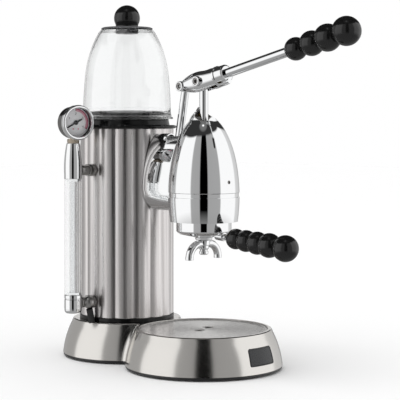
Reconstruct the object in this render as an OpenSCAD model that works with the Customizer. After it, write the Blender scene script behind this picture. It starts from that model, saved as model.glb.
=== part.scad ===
// Manual lever espresso machine: figure-eight base, fluted column with a boiler,
// clear water tank on top, egg-shaped brewing group, sight glass with pressure gauge.
// Millimetres. +Z is up, -Y is the user's side, -X is the side of the sight glass.
// The origin is on the standing plane, on the column's axis.

/* [Layout] */
// Height of the base's top sheet above the standing plane
base_h = 50; // [48:0.5:52]
// Distance from the column's axis to the group's axis
reach = 144; // [142:0.5:146]
// Distance from the column's axis to the sight glass's axis
sight_reach = 92; // [90:0.5:94]
// Thickness of the polished sheet metal
sheet = 1.4; // [1.2:0.1:1.6]

/* [Base] */
// Radius of the front lobe at its bottom edge
front_r = 98.5; // [96:0.5:99]
// Radius of the rear lobe at its bottom edge
rear_r = 84; // [82:0.5:86]
// How far each flank leans in from bottom to top
flank_lean = 13; // [11:0.5:14]
// Radius of the round drip plate
plate_r = 79.4; // [78:0.2:80]

/* [Column] */
// Radius of the column over the crowns of its flutes
column_r = 61.6; // [60:0.2:62]
// Number of flutes round the column
flutes = 16; // [12:2:20]
// Height of the column's top edge
column_top = 298.5; // [296:0.5:299]

/* [Water tank] */
// Wall of the clear dome
dome_wall = 2.2; // [1.6:0.1:2.6]
// Height of the dome's flat top
dome_top = 429.5; // [426:0.5:430]
// Radius of the ball-shaped lid knob
knob_r = 17.2; // [15:0.2:18]

/* [Group] */
// Largest radius of the egg-shaped cover
egg_r = 44.7; // [44:0.1:45.4]
// Half of the full egg's height
egg_half_h = 102.5; // [101:0.5:104]
// Radius of the cylinder's bore
bore_r = 24.5; // [24:0.1:25]
// Radius of the piston rod
rod_r = 5.6; // [5:0.1:5.8]

/* [Lever] */
// Angle of the lever above level at rest
lever_angle = 13; // [11:0.5:15]
// Radius of the lever's tube
lever_r = 5.9; // [5:0.1:6.2]
// Length of the link between its two pivots
link_len = 95; // [94:0.5:96]

/* [Portafilter] */
// Radius of the portafilter's body
filter_r = 34.7; // [34:0.1:34.8]
// Angle by which the handle droops
handle_droop = 4.5; // [3:0.5:6]

/* [Hidden] */
$fn = 96;

eps = 0.5;          // overrun of a cutting tool past the face it cuts
run_gap = 0.05;     // radial clearance of a running fit
part_gap = 0.3;     // gap between curved faces of different pieces

// Base
shell_z = 5;                    // underside of the sheet-metal shell
shell_t = 1.8;                  // thickness of the shell
flank_bow = 2.2;                // how far the flank bulges outside its chord
ledge_z = base_h - 3.6;         // top of the ledge that carries the drip tray
well_r = plate_r + 0.5;         // radius of the recess round the drip plate
tray_flange_t = 1;
tray_cup_r = 66;
plate_t = 1.6;
plate_gap = 0.2;
finger_hole_r = 6.4;
finger_hole_at = [12.9, 5.4];
foot_r = 10;
foot_h = 2;
badge_t = 1.2;
badge_z = 24.8;
badge_turn = 3;                 // the badge sits this far round to the user's right
badge_w = 43;
badge_h = 21;
badge_corner = 2.5;
switch_turn = -62;              // the switch sits this far round from the back
switch_lean = 16;               // and leans with the flank
switch_at = 80.3;
switch_z = 24;
rocker_pin_r = 1.2;

// Column
foot_ring_h = 5;
flute_r = 22;                   // radius of each flute's crown
flute_at = column_r - flute_r;  // distance of the crowns' centres from the axis
jacket_z = base_h + foot_ring_h;
jacket_bore = 56;

// Boiler
boiler_r = 45;
boiler_wall = 2;
boiler_z = 68;
boiler_top = 268;

// Tank
collar_r = 55;
flange_r = 65.5;
flange_t = 4.5;
flange_z = column_top;
collar_z = flange_z + flange_t;
dome_z = collar_z + 8;
lid_hole_r = 16.5;

// Sight glass
tube_z0 = 86.6;
tube_z1 = 234.5;
guard_r = 11.1;
upper_arm_z = 245;
lower_arm_z = 75;
drain_at = [-71, -7];           // where the drain tube leaves its ball, from the column's axis
drain_tilt = -14;               // how far it leans in towards the column
drain_ball_r = 8;
drain_top = lower_arm_z - 7;
drain_r = 4.2;
drain_z = 47;
nut_z = 280;
nut_h = 5.6;
gauge_z = 306.4;
gauge_turn = -12;               // the gauge looks this far to the left of the user's side
bezel_r = 22.4;
case_half = 11;
gauge_fwd = 3;                  // how far the case stands in front of its stem
needle_rest = 208;

// Group
egg_z = 215;                    // height of the egg's widest ring
skirt_z = 183;                  // lower edge of the egg
seam_z = 213.5;
seam_h = 5.5;                   // height of the recessed band at the seam
seam_in = 0.8;                  // depth of that band
socket_y = 40;                  // where the neck's tube meets the cylinder, behind the group's axis
screw_z = 233;
screw_turns = [0, 90];          // the cover's screws, from the user's side towards +X
neck_r = 24.6;                  // half the neck cover's width, and the radius of its underside
neck_h = 74.6;                  // height of its oval upper side
neck_z = 218;                   // where the oval meets the round underside
bell_r = 40.5;
bell_in = 37.4;
face_z = 198.5;                 // face that carries the gasket and the screen
cyl_r = 30;
cyl_top = 262;
piston_z = 206;
piston_h = 20;
piston_r = bore_r - 0.3;
seal_r = bore_r - run_gap;
groove_r = bore_r - 3;
groove_h = 4;

// Lever linkage
pin_z = 358;                    // height of the pin through the piston rod
tail_back = 32;                 // the link's pin, behind the rod's pin
tail_down = 5.6;                // and below it
link_lean = 11;                 // lean of the link towards the column at its foot
pin_r = 3;
fork_in = 6.1;                  // half the gap between the fork's cheeks
cheek_out = 11.5;
boss_out = 15.5;
boss_r = 6.3;
collar_at = 27;                 // where the head's round socket starts
socket_r = 11.5;
socket_end = 42;
grip_at = [157, 182, 206.5, 235];
grip_bead = [13.9, 15, 16.3, 17.25];
tube_end = 226;

// Portafilter
body_z = 168;
body_rim_z = 192;
ear_r = 36.8;
ear_z = 188.2;
ear_h = 3.6;
hub_r = 11;
hub_z = 160;
stem_z = 168.6;                 // height of the handle's axis at the group's axis
stem_r = 3.9;
handle_at = [56, 73, 91.5, 111, 137];
handle_bead = [12.7, 13.35, 14, 14.9, 16];
spout_r = 5;
spout_bend = 17;
spout_out = 25;
spout_tip_z = 135.9;

// Steam side
steam_at = 85;                  // distance of the steam valve's axis from the column's axis
steam_z = 236;

// Colours
steel = [0.78, 0.78, 0.77];
chrome = [0.86, 0.87, 0.88];
pewter = [0.52, 0.52, 0.51];
black = [0.05, 0.05, 0.05];
clear = [0.85, 0.9, 0.92, 0.35];
brass = [0.76, 0.62, 0.32];
grey = [0.45, 0.45, 0.46];

// Points from p to q on a shallow arc that bulges by s to the right of the way there
function bow(p, q, s, n = 8) =
  let(d = q - p, side = [d.y, -d.x] / norm(d))
  [for (i = [0:n]) let(t = i / n) p + d * t + side * 4 * s * t * (1 - t)];

// Radius of the egg, moved in by d, at height z
function egg_at(z, d = 0) = (egg_r - d) * sqrt(1 - pow((z - egg_z) / (egg_half_h - d), 2));
function egg_line(z0, z1, d, n) =
  [for (i = [0:n]) let(z = z0 + (z1 - z0) * i / n) [egg_at(z, d), z]];

module at_group() {
  translate([0, -reach, 0]) children();
}

// A solid of revolution from [radius, height] points
module turned(points) {
  rotate_extrude() polygon(points);
}

// A tube standing on z0
module pipe(r_out, r_in, z0, z1) {
  translate([0, 0, z0]) difference() {
    cylinder(r = r_out, h = z1 - z0);
    translate([0, 0, -eps]) cylinder(r = r_in, h = z1 - z0 + 2 * eps);
  }
}

// A turned grip of overlapping beads along +Z, with a blind hole from its start
module bead_grip(at, bead, start, hole_r, hole_end) {
  rotate_extrude() difference() {
    intersection() {
      union() {
        for (i = [0:len(at) - 1]) translate([0, at[i]]) circle(bead[i]);
        children();
      }
      translate([0, start]) square([60, 400]);
    }
    translate([-1, 0]) square([hole_r + 1, hole_end]);
  }
}

// A cylinder along X between two places
module along_x(r, x0, x1) {
  translate([x0, 0, 0]) rotate([0, 90, 0]) cylinder(r = r, h = x1 - x0);
}

// A cylinder along Y between two places
module along_y(r, y0, y1) {
  translate([0, y1, 0]) rotate([90, 0, 0]) cylinder(r = r, h = y1 - y0);
}

// ---- base ----

module lobe(r, in, z0, z1) {
  turned(concat([[0, z0]], bow([r - in, z0], [r - flank_lean - in, z1], flank_bow), [[0, z1]]));
}

module base_shell() {
  color(steel) difference() {
    union() {
      difference() {
        union() {
          lobe(rear_r, 0, shell_z, base_h);
          at_group() lobe(front_r, 0, shell_z, base_h);
        }
        lobe(rear_r, shell_t, shell_z - eps, base_h - shell_t);
        at_group() lobe(front_r, shell_t, shell_z - eps, base_h - shell_t);
      }
      at_group() pipe(well_r + shell_t, tray_cup_r + 2, ledge_z - shell_t, base_h - shell_t / 2);
    }
    at_group() translate([0, 0, ledge_z]) cylinder(r = well_r, h = 20);
    translate([0, 0, base_h - 10]) cylinder(r = 28, h = 20);
    at_switch() translate([0, -4, 0]) cube([29.6, 22, 12.6], center = true);
    at_switch() translate([-16.7, -0.35, -8.2]) cube([33.4, 20, 16.4]);
    at_drain() translate([0, 0, drain_z - drain_top]) cylinder(r = drain_r, h = 12);
    translate([0, rear_r - 20, 22]) rotate([-90, 0, 0]) cylinder(r = 6.2, h = 30);
  }
}

module base_plate() {
  color(black) translate([0, 0, foot_h]) {
    cylinder(r = rear_r - 0.6, h = shell_z - foot_h);
    at_group() cylinder(r = front_r - 0.6, h = shell_z - foot_h);
  }
}

// Four feet under the front lobe, two at the back and one under the column's axis
module feet() {
  color(black) {
    for (a = [40, 140, 220, 320]) at_group() rotate(a) translate([84, 0, 0]) foot();
    for (a = [50, 130]) rotate(a) translate([68, 0, 0]) foot();
    foot();
  }
}

module foot() {
  cylinder(r1 = foot_r - 1, r2 = foot_r, h = foot_h);
}

module drip_tray() {
  floor_z = 15;
  color(steel) at_group() turned([
    [0, floor_z], [tray_cup_r, floor_z], [tray_cup_r, ledge_z], [well_r - 0.3, ledge_z],
    [well_r - 0.3, ledge_z + tray_flange_t], [tray_cup_r - 1.2, ledge_z + tray_flange_t],
    [tray_cup_r - 1.2, floor_z + 1.2], [0, floor_z + 1.2],
  ]);
}

module drip_plate() {
  plate_z = ledge_z + tray_flange_t + plate_gap;
  color(steel) at_group() difference() {
    turned([
      [0, plate_z], [plate_r, plate_z], [plate_r, plate_z + plate_t],
      [plate_r - 3, plate_z + plate_t], [plate_r - 6, plate_z + plate_t - 0.6], [0, plate_z + plate_t - 0.6],
    ]);
    for (s = [-1, 1]) translate([s * finger_hole_at.x, s * finger_hole_at.y, plate_z - eps])
      cylinder(r = finger_hole_r, h = 5);
  }
}

// A blank badge follows the flank of the front lobe on the user's side
module badge_plate() {
  color(black) at_group() intersection() {
    difference() {
      lobe(front_r, -badge_t, shell_z, base_h);
      lobe(front_r, 0, shell_z, base_h);
    }
    rotate(badge_turn) translate([0, -70, badge_z]) rotate([90, 0, 0]) linear_extrude(60)
      offset(r = badge_corner)
        square([badge_w - 2 * badge_corner, badge_h - 2 * badge_corner], center = true);
  }
}

module at_switch() {
  rotate(switch_turn) translate([0, switch_at, switch_z]) rotate([switch_lean, 0, 0]) children();
}

module power_switch() {
  color(black) at_switch() difference() {
    union() {
      translate([0, -9, 0]) cube([29.4, 20, 12.4], center = true);
      translate([0, 1, 0]) cube([33, 2.6, 16], center = true);
    }
    translate([0, -3, 0]) cube([25, 12, 9], center = true);
    translate([0, -5, 0]) cylinder(r = rocker_pin_r + run_gap, h = 11, center = true);
  }
}

// The rocker rests tilted to its off side
module power_rocker() {
  color(black) at_switch() translate([0, -5, 0]) rotate(-7) {
    cylinder(r = rocker_pin_r, h = 10.6, center = true);
    difference() {
      intersection() {
        translate([0, 3.6, 0]) cube([23, 8, 8.4], center = true);
        translate([0, -8, -6]) cylinder(r = 17, h = 12);
      }
      translate([0, 16.6, -6]) cylinder(r = 9.5, h = 12);
    }
  }
}

module cord_gland() {
  color(black) translate([0, 0, 22]) difference() {
    union() {
      along_y(6.1, rear_r - 9, rear_r + 8);
      along_y(9, rear_r - 1.2, rear_r + 2.5);
    }
    along_y(3.6, rear_r - 12, rear_r + 10);
  }
}

// ---- column ----

module column_foot_ring() {
  color(black) pipe(column_r + 0.6, 34, base_h, jacket_z);
}

module flute_outline() {
  circle(flute_at);
  for (i = [0:flutes - 1]) rotate(i * 360 / flutes) translate([flute_at, 0]) circle(flute_r);
}

module column_jacket() {
  color(steel) difference() {
    translate([0, 0, jacket_z]) linear_extrude(column_top - jacket_z) rotate(-90) difference() {
      flute_outline();
      circle(jacket_bore);
    }
    translate([0, 0, egg_z]) along_y(15, -80, -30);
    for (z = [upper_arm_z, lower_arm_z]) translate([0, 0, z]) along_x(4.6, -80, -30);
    translate([0, 0, steam_z]) along_x(6.2, 30, 80);
  }
}

module boiler_body() {
  color(steel) difference() {
    union() {
      turned([
        [0, boiler_z], [boiler_r - 8, boiler_z], [boiler_r - 3, boiler_z + 2.5], [boiler_r, boiler_z + 9],
        [boiler_r, boiler_top - 4], [boiler_r + 6, boiler_top - 4], [boiler_r + 6, boiler_top],
        [0, boiler_top],
      ]);
      translate([0, 0, egg_z]) along_y(14, -52, -boiler_r + 4);
      for (z = [upper_arm_z, lower_arm_z]) translate([0, 0, z]) along_x(8, -50, -boiler_r + 4);
      translate([0, 0, steam_z]) along_x(9, boiler_r - 4, 50);
      pipe(32, 28, base_h, boiler_z + 1);
    }
    turned([
      [0, boiler_z + boiler_wall], [boiler_r - 9, boiler_z + boiler_wall],
      [boiler_r - boiler_wall, boiler_z + 11], [boiler_r - boiler_wall, boiler_top + 1], [0, boiler_top + 1],
    ]);
    translate([0, 0, egg_z]) along_y(5, -60, -30);
    for (z = [upper_arm_z, lower_arm_z]) translate([0, 0, z]) along_x(3, -60, -30);
    translate([0, 0, steam_z]) along_x(3, 30, 60);
    for (s = [-1, 1]) translate([s * 16, 0, boiler_z - 1]) cylinder(r = 4, h = 6);
  }
}

module boiler_cap() {
  color(steel) difference() {
    union() {
      translate([0, 0, boiler_top]) cylinder(r = boiler_r + 6, h = 5);
      for (i = [0:7]) rotate(i * 45 + 22.5) translate([boiler_r + 0.5, 0, boiler_top + 5])
        cylinder(r = 4, h = 3.2, $fn = 6);
    }
    translate([22, 12, boiler_top - 1]) cylinder(r = 4, h = 8);
    translate([-20, 16, boiler_top - 1]) cylinder(r = 4, h = 8);
    translate([0, 0, boiler_top - 1]) cylinder(r = 4.5, h = 8);
  }
}

// A loop with two legs that leave through the boiler's floor
module heating_element() {
  loop_z = boiler_z + 34;
  color(grey) {
    translate([0, 0, loop_z]) rotate([90, 0, 0]) rotate_extrude(angle = 180) translate([16, 0]) circle(3.9);
    for (s = [-1, 1]) translate([s * 16, 0, boiler_z - 8]) cylinder(r = 3.9, h = loop_z - boiler_z + 8);
  }
}

module pressure_switch() {
  color(grey) translate([22, 12, boiler_top]) {
    cylinder(r = 3.9, h = 8);
    translate([0, 0, 5]) cylinder(r = 13, h = 5);
    translate([0, 0, 10]) cylinder(r = 8, h = 12);
  }
}

module safety_valve() {
  color(brass) translate([-20, 16, boiler_top]) {
    cylinder(r = 3.9, h = 8);
    translate([0, 0, 5]) cylinder(r = 8, h = 7, $fn = 6);
    translate([0, 0, 12]) cylinder(r = 5, h = 9);
  }
}

// Cold water runs from the tank down through the boiler to the neck
module feed_tube() {
  color(steel) difference() {
    union() {
      translate([0, 0, egg_z]) cylinder(r = 4.4, h = collar_z - egg_z);
      translate([0, 0, egg_z]) sphere(4.4);
      translate([0, 0, egg_z]) along_y(4.4, -51, 0);
    }
    translate([0, 0, egg_z]) cylinder(r = 3.2, h = 120);
    translate([0, 0, egg_z]) along_y(3.2, -60, 0);
  }
}

// ---- water tank ----

module tank_tray() {
  color(black) difference() {
    union() {
      translate([0, 0, flange_z]) cylinder(r = flange_r, h = flange_t);
      translate([0, 0, collar_z]) cylinder(r = collar_r, h = dome_z - collar_z);
      translate([0, 0, dome_z]) cylinder(r = collar_r - 1.2, h = 3);
    }
    translate([0, 0, collar_z]) cylinder(r = collar_r - 4, h = 20);
    translate([0, 0, flange_z - eps]) cylinder(r = 5, h = 20);
  }
}

module tank_strainer() {
  color(black) difference() {
    union() {
      translate([0, 0, collar_z]) cylinder(r = 16, h = 4);
      translate([0, 0, collar_z + 4]) cylinder(r = 34, h = 10);
    }
    translate([0, 0, collar_z - eps]) cylinder(r = 4.6, h = 20);
    for (i = [0:11]) rotate(i * 30) translate([24, 0, collar_z + 3]) cylinder(r = 2.4, h = 14);
  }
}

// The dome's outline at a depth d inside its outer face
function dome_line(d) = concat(
  [[59.6 - d, dome_z + 4]],
  bow([57.7 - d, 333], [55.6 - d, 364], 0.4, 3),
  bow([55.4 - d, 367], [35 - d * 0.7, dome_top - d], 3.9, 10)
);

module tank_dome() {
  outside = dome_line(0);
  inside = dome_line(dome_wall);
  color(clear) turned(concat(
    [[collar_r - 1, dome_z], [61, dome_z], [61, dome_z + 2]],
    outside,
    [[lid_hole_r, dome_top], [lid_hole_r, dome_top - dome_wall]],
    [for (i = [len(inside) - 1:-1:0]) inside[i]],
    [[collar_r - 1, dome_z + 4]]
  ));
}

module tank_lid() {
  color(black) {
    translate([0, 0, dome_top + 0.2]) cylinder(r = 34, h = 2.4);
    translate([0, 0, dome_top - 5.5]) cylinder(r = 15, h = 6.5);
  }
}

module lid_knob() {
  knob_z = dome_top + 2.6;
  ball_z = knob_z + 12.4;
  color(black) difference() {
    union() {
      translate([0, 0, ball_z]) sphere(knob_r);
      translate([0, 0, knob_z]) cylinder(r = 15.2, h = 6);
    }
    translate([0, 0, knob_z - 20]) cylinder(r = 40, h = 20);
  }
}

// ---- sight glass and gauge ----

module at_sight() {
  translate([-sight_reach, 0, 0]) children();
}

module sight_top_fitting() {
  color(chrome) at_sight() difference() {
    union() {
      turned(concat(
        [[0, tube_z1 - 3], [9.4, tube_z1 - 3], [9.4, tube_z1], [11.6, tube_z1]],
        bow([11.6, tube_z1 + 6], [8.6, nut_z], 1.2, 8),
        [[0, nut_z]]
      ));
      translate([0, 0, nut_z]) cylinder(r = 8.4, h = nut_h, $fn = 6);
      translate([0, 0, nut_z + nut_h]) cylinder(r = 4.5, h = 2.2);
    }
    translate([0, 0, tube_z1 - 5]) cylinder(r = 2.5, h = 80);
    translate([0, 0, tube_z1 - 5]) cylinder(r = 5.1, h = 9);
  }
}

module sight_guard_tube() {
  color(clear) at_sight() pipe(guard_r, guard_r - 1.6, tube_z0, tube_z1);
}

module sight_inner_tube() {
  color(clear) at_sight() pipe(5, 3.6, tube_z0 - 6, tube_z1 + 3);
}

module sight_bottom_cap() {
  color(chrome) at_sight() difference() {
    turned(concat([[0, 63]], bow([6, 63], [11.4, 68.5], 2, 6),
      [[11.4, tube_z0], [9.4, tube_z0], [9.4, tube_z0 + 3], [0, tube_z0 + 3]]));
    translate([0, 0, tube_z0 - 6]) cylinder(r = 5.1, h = 20);
    translate([0, 0, lower_arm_z]) cylinder(r = 2.5, h = 20);
  }
}

module arm(z, body_r, x_end) {
  color(pewter) translate([0, 0, z]) difference() {
    union() {
      along_x(4.5, x_end, -50);
      along_x(body_r, x_end, -66);
      translate([-64.2, 0, 0]) cube([4.4, 24, 15], center = true);
      children();
    }
    along_x(2.5, x_end - 1, -49);
  }
}

module sight_upper_arm() {
  arm(upper_arm_z, 6.3, -sight_reach + 11.9);
}

module sight_lower_arm() {
  arm(lower_arm_z, 6.5, -sight_reach + 11.45) difference() {
    translate([drain_at[0], drain_at[1], 0]) sphere(drain_ball_r);
    translate([drain_at[0], drain_at[1], drain_top - lower_arm_z - 10]) cylinder(r = 10, h = 10);
  }
}

// From below the drain's ball, leaning in
module at_drain() {
  drop = drain_r * sin(-drain_tilt);
  translate([drain_at[0], drain_at[1], drain_top - drop]) rotate([0, drain_tilt, 0]) children();
}

module sight_drain_tube() {
  color(black) at_drain() pipe(drain_r, drain_r - 2, drain_z - drain_top, 0);
}

module at_gauge() {
  translate([-sight_reach, 0, gauge_z]) rotate([90, 0, gauge_turn]) translate([0, 0, gauge_fwd]) children();
}

module gauge_case() {
  color(grey) at_gauge() difference() {
    translate([0, 0, -case_half]) cylinder(r = 20.4, h = 2 * case_half);
    translate([0, 0, case_half - 8]) cylinder(r = 19.2, h = 10);
    translate([0, 0, -gauge_fwd]) rotate([90, 0, 0]) translate([0, 0, 12]) cylinder(r = 4.5, h = 20);
  }
}

module gauge_bezel() {
  color(chrome) at_gauge() turned([
    [20.45, case_half - 4], [bezel_r, case_half - 4], [bezel_r, case_half + 1],
    [bezel_r - 1, case_half + 2.5], [bezel_r - 3, case_half + 2.5],
    [18.4, case_half + 0.9], [20.45, case_half + 0.9],
  ]);
}

module gauge_dial() {
  color([0.85, 0.85, 0.85]) at_gauge() translate([0, 0, case_half - 8]) difference() {
    cylinder(r = 19.1, h = 0.8);
    translate([0, 0, -eps]) cylinder(r = 1.2, h = 3);
  }
}

module gauge_needle() {
  color(black) at_gauge() translate([0, 0, case_half - 6.6]) rotate(needle_rest) {
    cylinder(r = 3, h = 1.2);
    translate([0, 0, -1.2]) cylinder(r = 1.15, h = 2);
    linear_extrude(0.8) polygon([[-9.5, -1], [0, -1.2], [16, -0.35], [16, 0.35], [0, 1.2], [-9.5, 1]]);
  }
}

module gauge_glass() {
  color(clear) at_gauge() translate([0, 0, case_half - 1.1]) cylinder(r = 19.1, h = 1.6);
}

// ---- neck ----

// The neck cover's section, moved in by d: an oval above, a half circle below
module neck_section(d) {
  translate([0, neck_z]) circle(neck_r - d);
  translate([0, neck_z]) polygon([for (t = [0:6:180]) [(neck_r - d) * cos(t), (neck_h - d) * sin(t)]]);
}

// The whole cover between the column and the egg
module neck_cover_shell(d_out, d_in) {
  difference() {
    translate([0, -46, 0]) rotate([90, 0, 0]) linear_extrude(reach - 46 - 20) difference() {
      neck_section(d_out);
      neck_section(d_in);
    }
    cylinder(r = column_r + part_gap, h = 400);
    at_group() turned(concat([[0, 150]], egg_line(150, 300, -part_gap, 20), [[0, 300]]));
  }
}

module neck_cover_lower() {
  color(chrome) union() {
    intersection() {
      neck_cover_shell(0, sheet);
      translate([-60, -120, 150]) cube([120, 90, seam_z - 150]);
    }
    intersection() {
      neck_cover_shell(seam_in, sheet);
      translate([-60, -120, seam_z - 1]) cube([120, 90, seam_h + 1]);
    }
  }
}

module neck_cover_upper() {
  color(chrome) difference() {
    intersection() {
      neck_cover_shell(0, sheet);
      translate([-60, -120, seam_z + seam_h]) cube([120, 90, 80]);
    }
    translate([-7.5, -reach + 27, 262]) cube([15, 32, 60]);
  }
}

// The neck carries two ears with slots, in which the link's foot pivots
foot_y = -reach + tail_back + link_len * sin(link_lean);
foot_z = pin_z - tail_down - link_len * cos(link_lean);
module neck_tube() {
  color(brass) difference() {
    union() {
      translate([0, 0, egg_z]) along_y(9, -reach + socket_y, -52);
      translate([0, 0, egg_z]) along_y(14, -57, -52);
      translate([-8.5, foot_y - 4.6, egg_z]) cube([17, 12.6, foot_z - egg_z + 8]);
    }
    translate([0, 0, egg_z]) along_y(5, -reach + 30, -50);
    translate([-6.3, foot_y - 20, egg_z + 14]) cube([12.6, 40, 80]);
    translate([-20, foot_y - 8, foot_z - 4.6]) cube([40, 12.6, 9.4]);
  }
}

// ---- group ----

module group_cover_lower() {
  color(chrome) at_group() difference() {
    turned(concat(
      egg_line(skirt_z, seam_z, 0, 6),
      [[egg_at(seam_z, seam_in), seam_z], [egg_at(seam_z + seam_h, seam_in), seam_z + seam_h]],
      [for (i = [7:-1:0]) egg_line(skirt_z, seam_z + seam_h, sheet + 0.4, 7)[i]]
    ));
    translate([0, 0, egg_z]) along_y(20, 20, 60);
  }
}

module group_cover_upper() {
  z0 = seam_z + seam_h;
  horn_z = 310;
  horn = [[19.4, 306], [17.8, 310], [15.8, 314.4], [12.4, 318.5], [9.6, 322], [7.6, 326]];
  rim = [
    [-19, 345], [-17.2, 316.2], [-16.4, 314.4], [-14, 310.8], [-11.5, 308.6], [-9, 308],
    [-4, 310.6], [3, 316.6], [6, 321.5], [7.4, 326], [8, 345],
  ];
  color(chrome) at_group() difference() {
    union() {
      turned(concat(
        egg_line(z0, horn_z, 0, 16),
        [for (i = [16:-1:0]) egg_line(z0, horn_z - 0.4, sheet, 16)[i]]
      ));
      turned(concat(horn, [for (i = [5:-1:0]) [horn[i].x - 1.3, horn[i].y - 0.6]]));
    }
    rotate([90, 0, 90]) linear_extrude(120, center = true) polygon(rim);
    translate([0, 0, egg_z]) along_y(20, 20, 60);
    for (a = screw_turns) rotate(a) translate([0, 0, screw_z]) along_y(1.7, -60, -30);
  }
}

module cover_screws() {
  color(grey) at_group() for (a = screw_turns) rotate(a) translate([0, 0, screw_z]) difference() {
    along_y(1.6, -egg_at(screw_z) + 0.2, -cyl_r + 2);
    along_y(0.8, -egg_r - 2, -egg_at(screw_z) + 1.4);
  }
}

module group_cylinder() {
  color(brass) at_group() difference() {
    union() {
      turned([
        [bell_in, 184.5], [bell_r, 184.5], [bell_r, 205], [cyl_r, 212], [cyl_r, cyl_top],
        [bore_r, cyl_top], [bore_r, face_z], [bell_in, face_z],
      ]);
      for (s = [0, 180]) rotate(s - 30) rotate_extrude(angle = 60) translate([35.2, 184.5]) square([3, 3.4]);
      translate([0, 0, egg_z]) difference() {
        along_y(11, 24, socket_y);
        translate([0, 0, -50]) cylinder(r = bore_r + 1, h = 100);
      }
    }
    translate([0, 0, egg_z]) along_y(4, 10, 40);
    for (a = screw_turns) rotate(a) translate([0, 0, screw_z]) along_y(1.6, -33, -26.5);
  }
}

module group_cap() {
  color(brass) at_group() turned([
    [rod_r + run_gap, cyl_top - 8], [bore_r - 0.2, cyl_top - 8], [bore_r - 0.2, cyl_top], [cyl_r, cyl_top],
    [cyl_r, cyl_top + 5], [12, cyl_top + 7], [12, cyl_top + 14], [rod_r + run_gap, cyl_top + 14],
  ]);
}

module group_gasket() {
  color(black) at_group() pipe(36.4, 29.2, 193.6, face_z);
}

module shower_screen() {
  color(steel) at_group() difference() {
    pipe(27.8, 0.1, 188, face_z);
    translate([0, 0, 189]) cylinder(r = 27, h = 20);
    for (k = [1:4], i = [0:6 * k - 1]) rotate(i * 60 / k) translate([k * 5.6, 0, 187])
      cylinder(r = 0.9, h = 4, $fn = 16);
  }
}

module piston() {
  color(brass) at_group() turned([
    [0, piston_z], [piston_r - 2, piston_z], [piston_r, piston_z + 2],
    [piston_r, piston_z + 4], [groove_r, piston_z + 4],
    [groove_r, piston_z + 4 + groove_h], [piston_r, piston_z + 4 + groove_h],
    [piston_r, piston_z + 12], [groove_r, piston_z + 12],
    [groove_r, piston_z + 12 + groove_h], [piston_r, piston_z + 12 + groove_h],
    [piston_r, piston_z + piston_h], [rod_r, piston_z + piston_h], [rod_r, piston_z + 8], [0, piston_z + 8],
  ]);
}

module piston_seals() {
  color(black) at_group() for (z = [4, 12]) pipe(seal_r, groove_r, piston_z + z, piston_z + z + groove_h);
}

module piston_rod() {
  color(chrome) at_group() difference() {
    union() {
      translate([0, 0, piston_z + 8]) cylinder(r = rod_r, h = pin_z - piston_z - 8);
      translate([0, 0, pin_z]) along_x(7.4, -rod_r, rod_r);
    }
    translate([0, 0, pin_z]) along_x(pin_r + run_gap, -20, 20);
  }
}

// ---- lever ----

// Places children at the rod's pin, with +Y back and +Z up square to the lever
module at_lever() {
  translate([0, -reach, pin_z]) rotate([-lever_angle, 0, 0]) children();
}

tail_y = tail_back * cos(lever_angle) + tail_down * sin(lever_angle);
tail_z = tail_back * sin(lever_angle) - tail_down * cos(lever_angle);

// A round bar along the lever, from one distance in front of the pin to another
module lever_bar(r1, r2, from, to) {
  translate([0, -from, 0]) rotate([90, 0, 0]) cylinder(r1 = r1, r2 = r2, h = to - from);
}

module lever_head() {
  color(chrome) at_lever() difference() {
    union() {
      rotate([90, 0, 90]) translate([0, 0, -cheek_out]) linear_extrude(2 * cheek_out) polygon(concat(
        bow([-30, -13.5], [4, -14.5], -0.6, 3), bow([6, -14.3], [tail_y + 2, tail_z - 7], 1.6, 5),
        bow([tail_y + 2, tail_z - 7], [tail_y + 2, tail_z + 7], 5.2, 7),
        bow([tail_y, tail_z + 7.5], [-8, 13.5], 3.8, 6), bow([-10, 13.7], [-30, 11.5], 0.6, 3)
      ));
      along_x(boss_r, -boss_out, boss_out);
      translate([0, tail_y, tail_z]) along_x(boss_r, -cheek_out - 1.5, cheek_out + 1.5);
      lever_bar(13, socket_r, collar_at, socket_end);
    }
    translate([-fork_in, -19, -40]) cube([2 * fork_in, 100, 80]);
    translate([0, -19, -40]) cylinder(r = fork_in, h = 80);
    along_x(pin_r, -40, 40);
    translate([0, tail_y, tail_z]) along_x(pin_r, -40, 40);
    for (s = [-1, 1]) translate([s * (boss_out - 1), 0, 0]) along_x(4.6, -1.01, 1.01);
    for (s = [-1, 1]) translate([s * (cheek_out + 0.5), tail_y, tail_z]) along_x(4.6, -1.01, 1.01);
    lever_bar(lever_r, lever_r, collar_at + 3, socket_end + 1);
  }
}

module lever_pins() {
  color(grey) at_lever() {
    for (p = [[0, 0, boss_out], [tail_y, tail_z, cheek_out + 1.5]]) translate([0, p.x, p.y])
      difference() {
        union() {
          along_x(pin_r, -p.z + 1, p.z - 1);
          for (s = [-1, 1]) translate([s * (p.z - 0.7), 0, 0]) along_x(4.5, -1.1, 1.1);
        }
        for (s = [-1, 1]) translate([s * p.z, 0, 0]) rotate([0, 90, 0])
          cylinder(r = 2.5, h = 4, center = true, $fn = 6);
      }
  }
}

module lever_tube() {
  color(chrome) at_lever() difference() {
    lever_bar(lever_r, lever_r, collar_at + 3, tube_end);
    lever_bar(lever_r - 1.5, lever_r - 1.5, collar_at + 2, tube_end + 1);
  }
}

module lever_grip() {
  color(black) at_lever() rotate([90, 0, 0])
    bead_grip(grip_at, grip_bead, grip_at[0] - 13.4, lever_r, tube_end);
}

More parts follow.
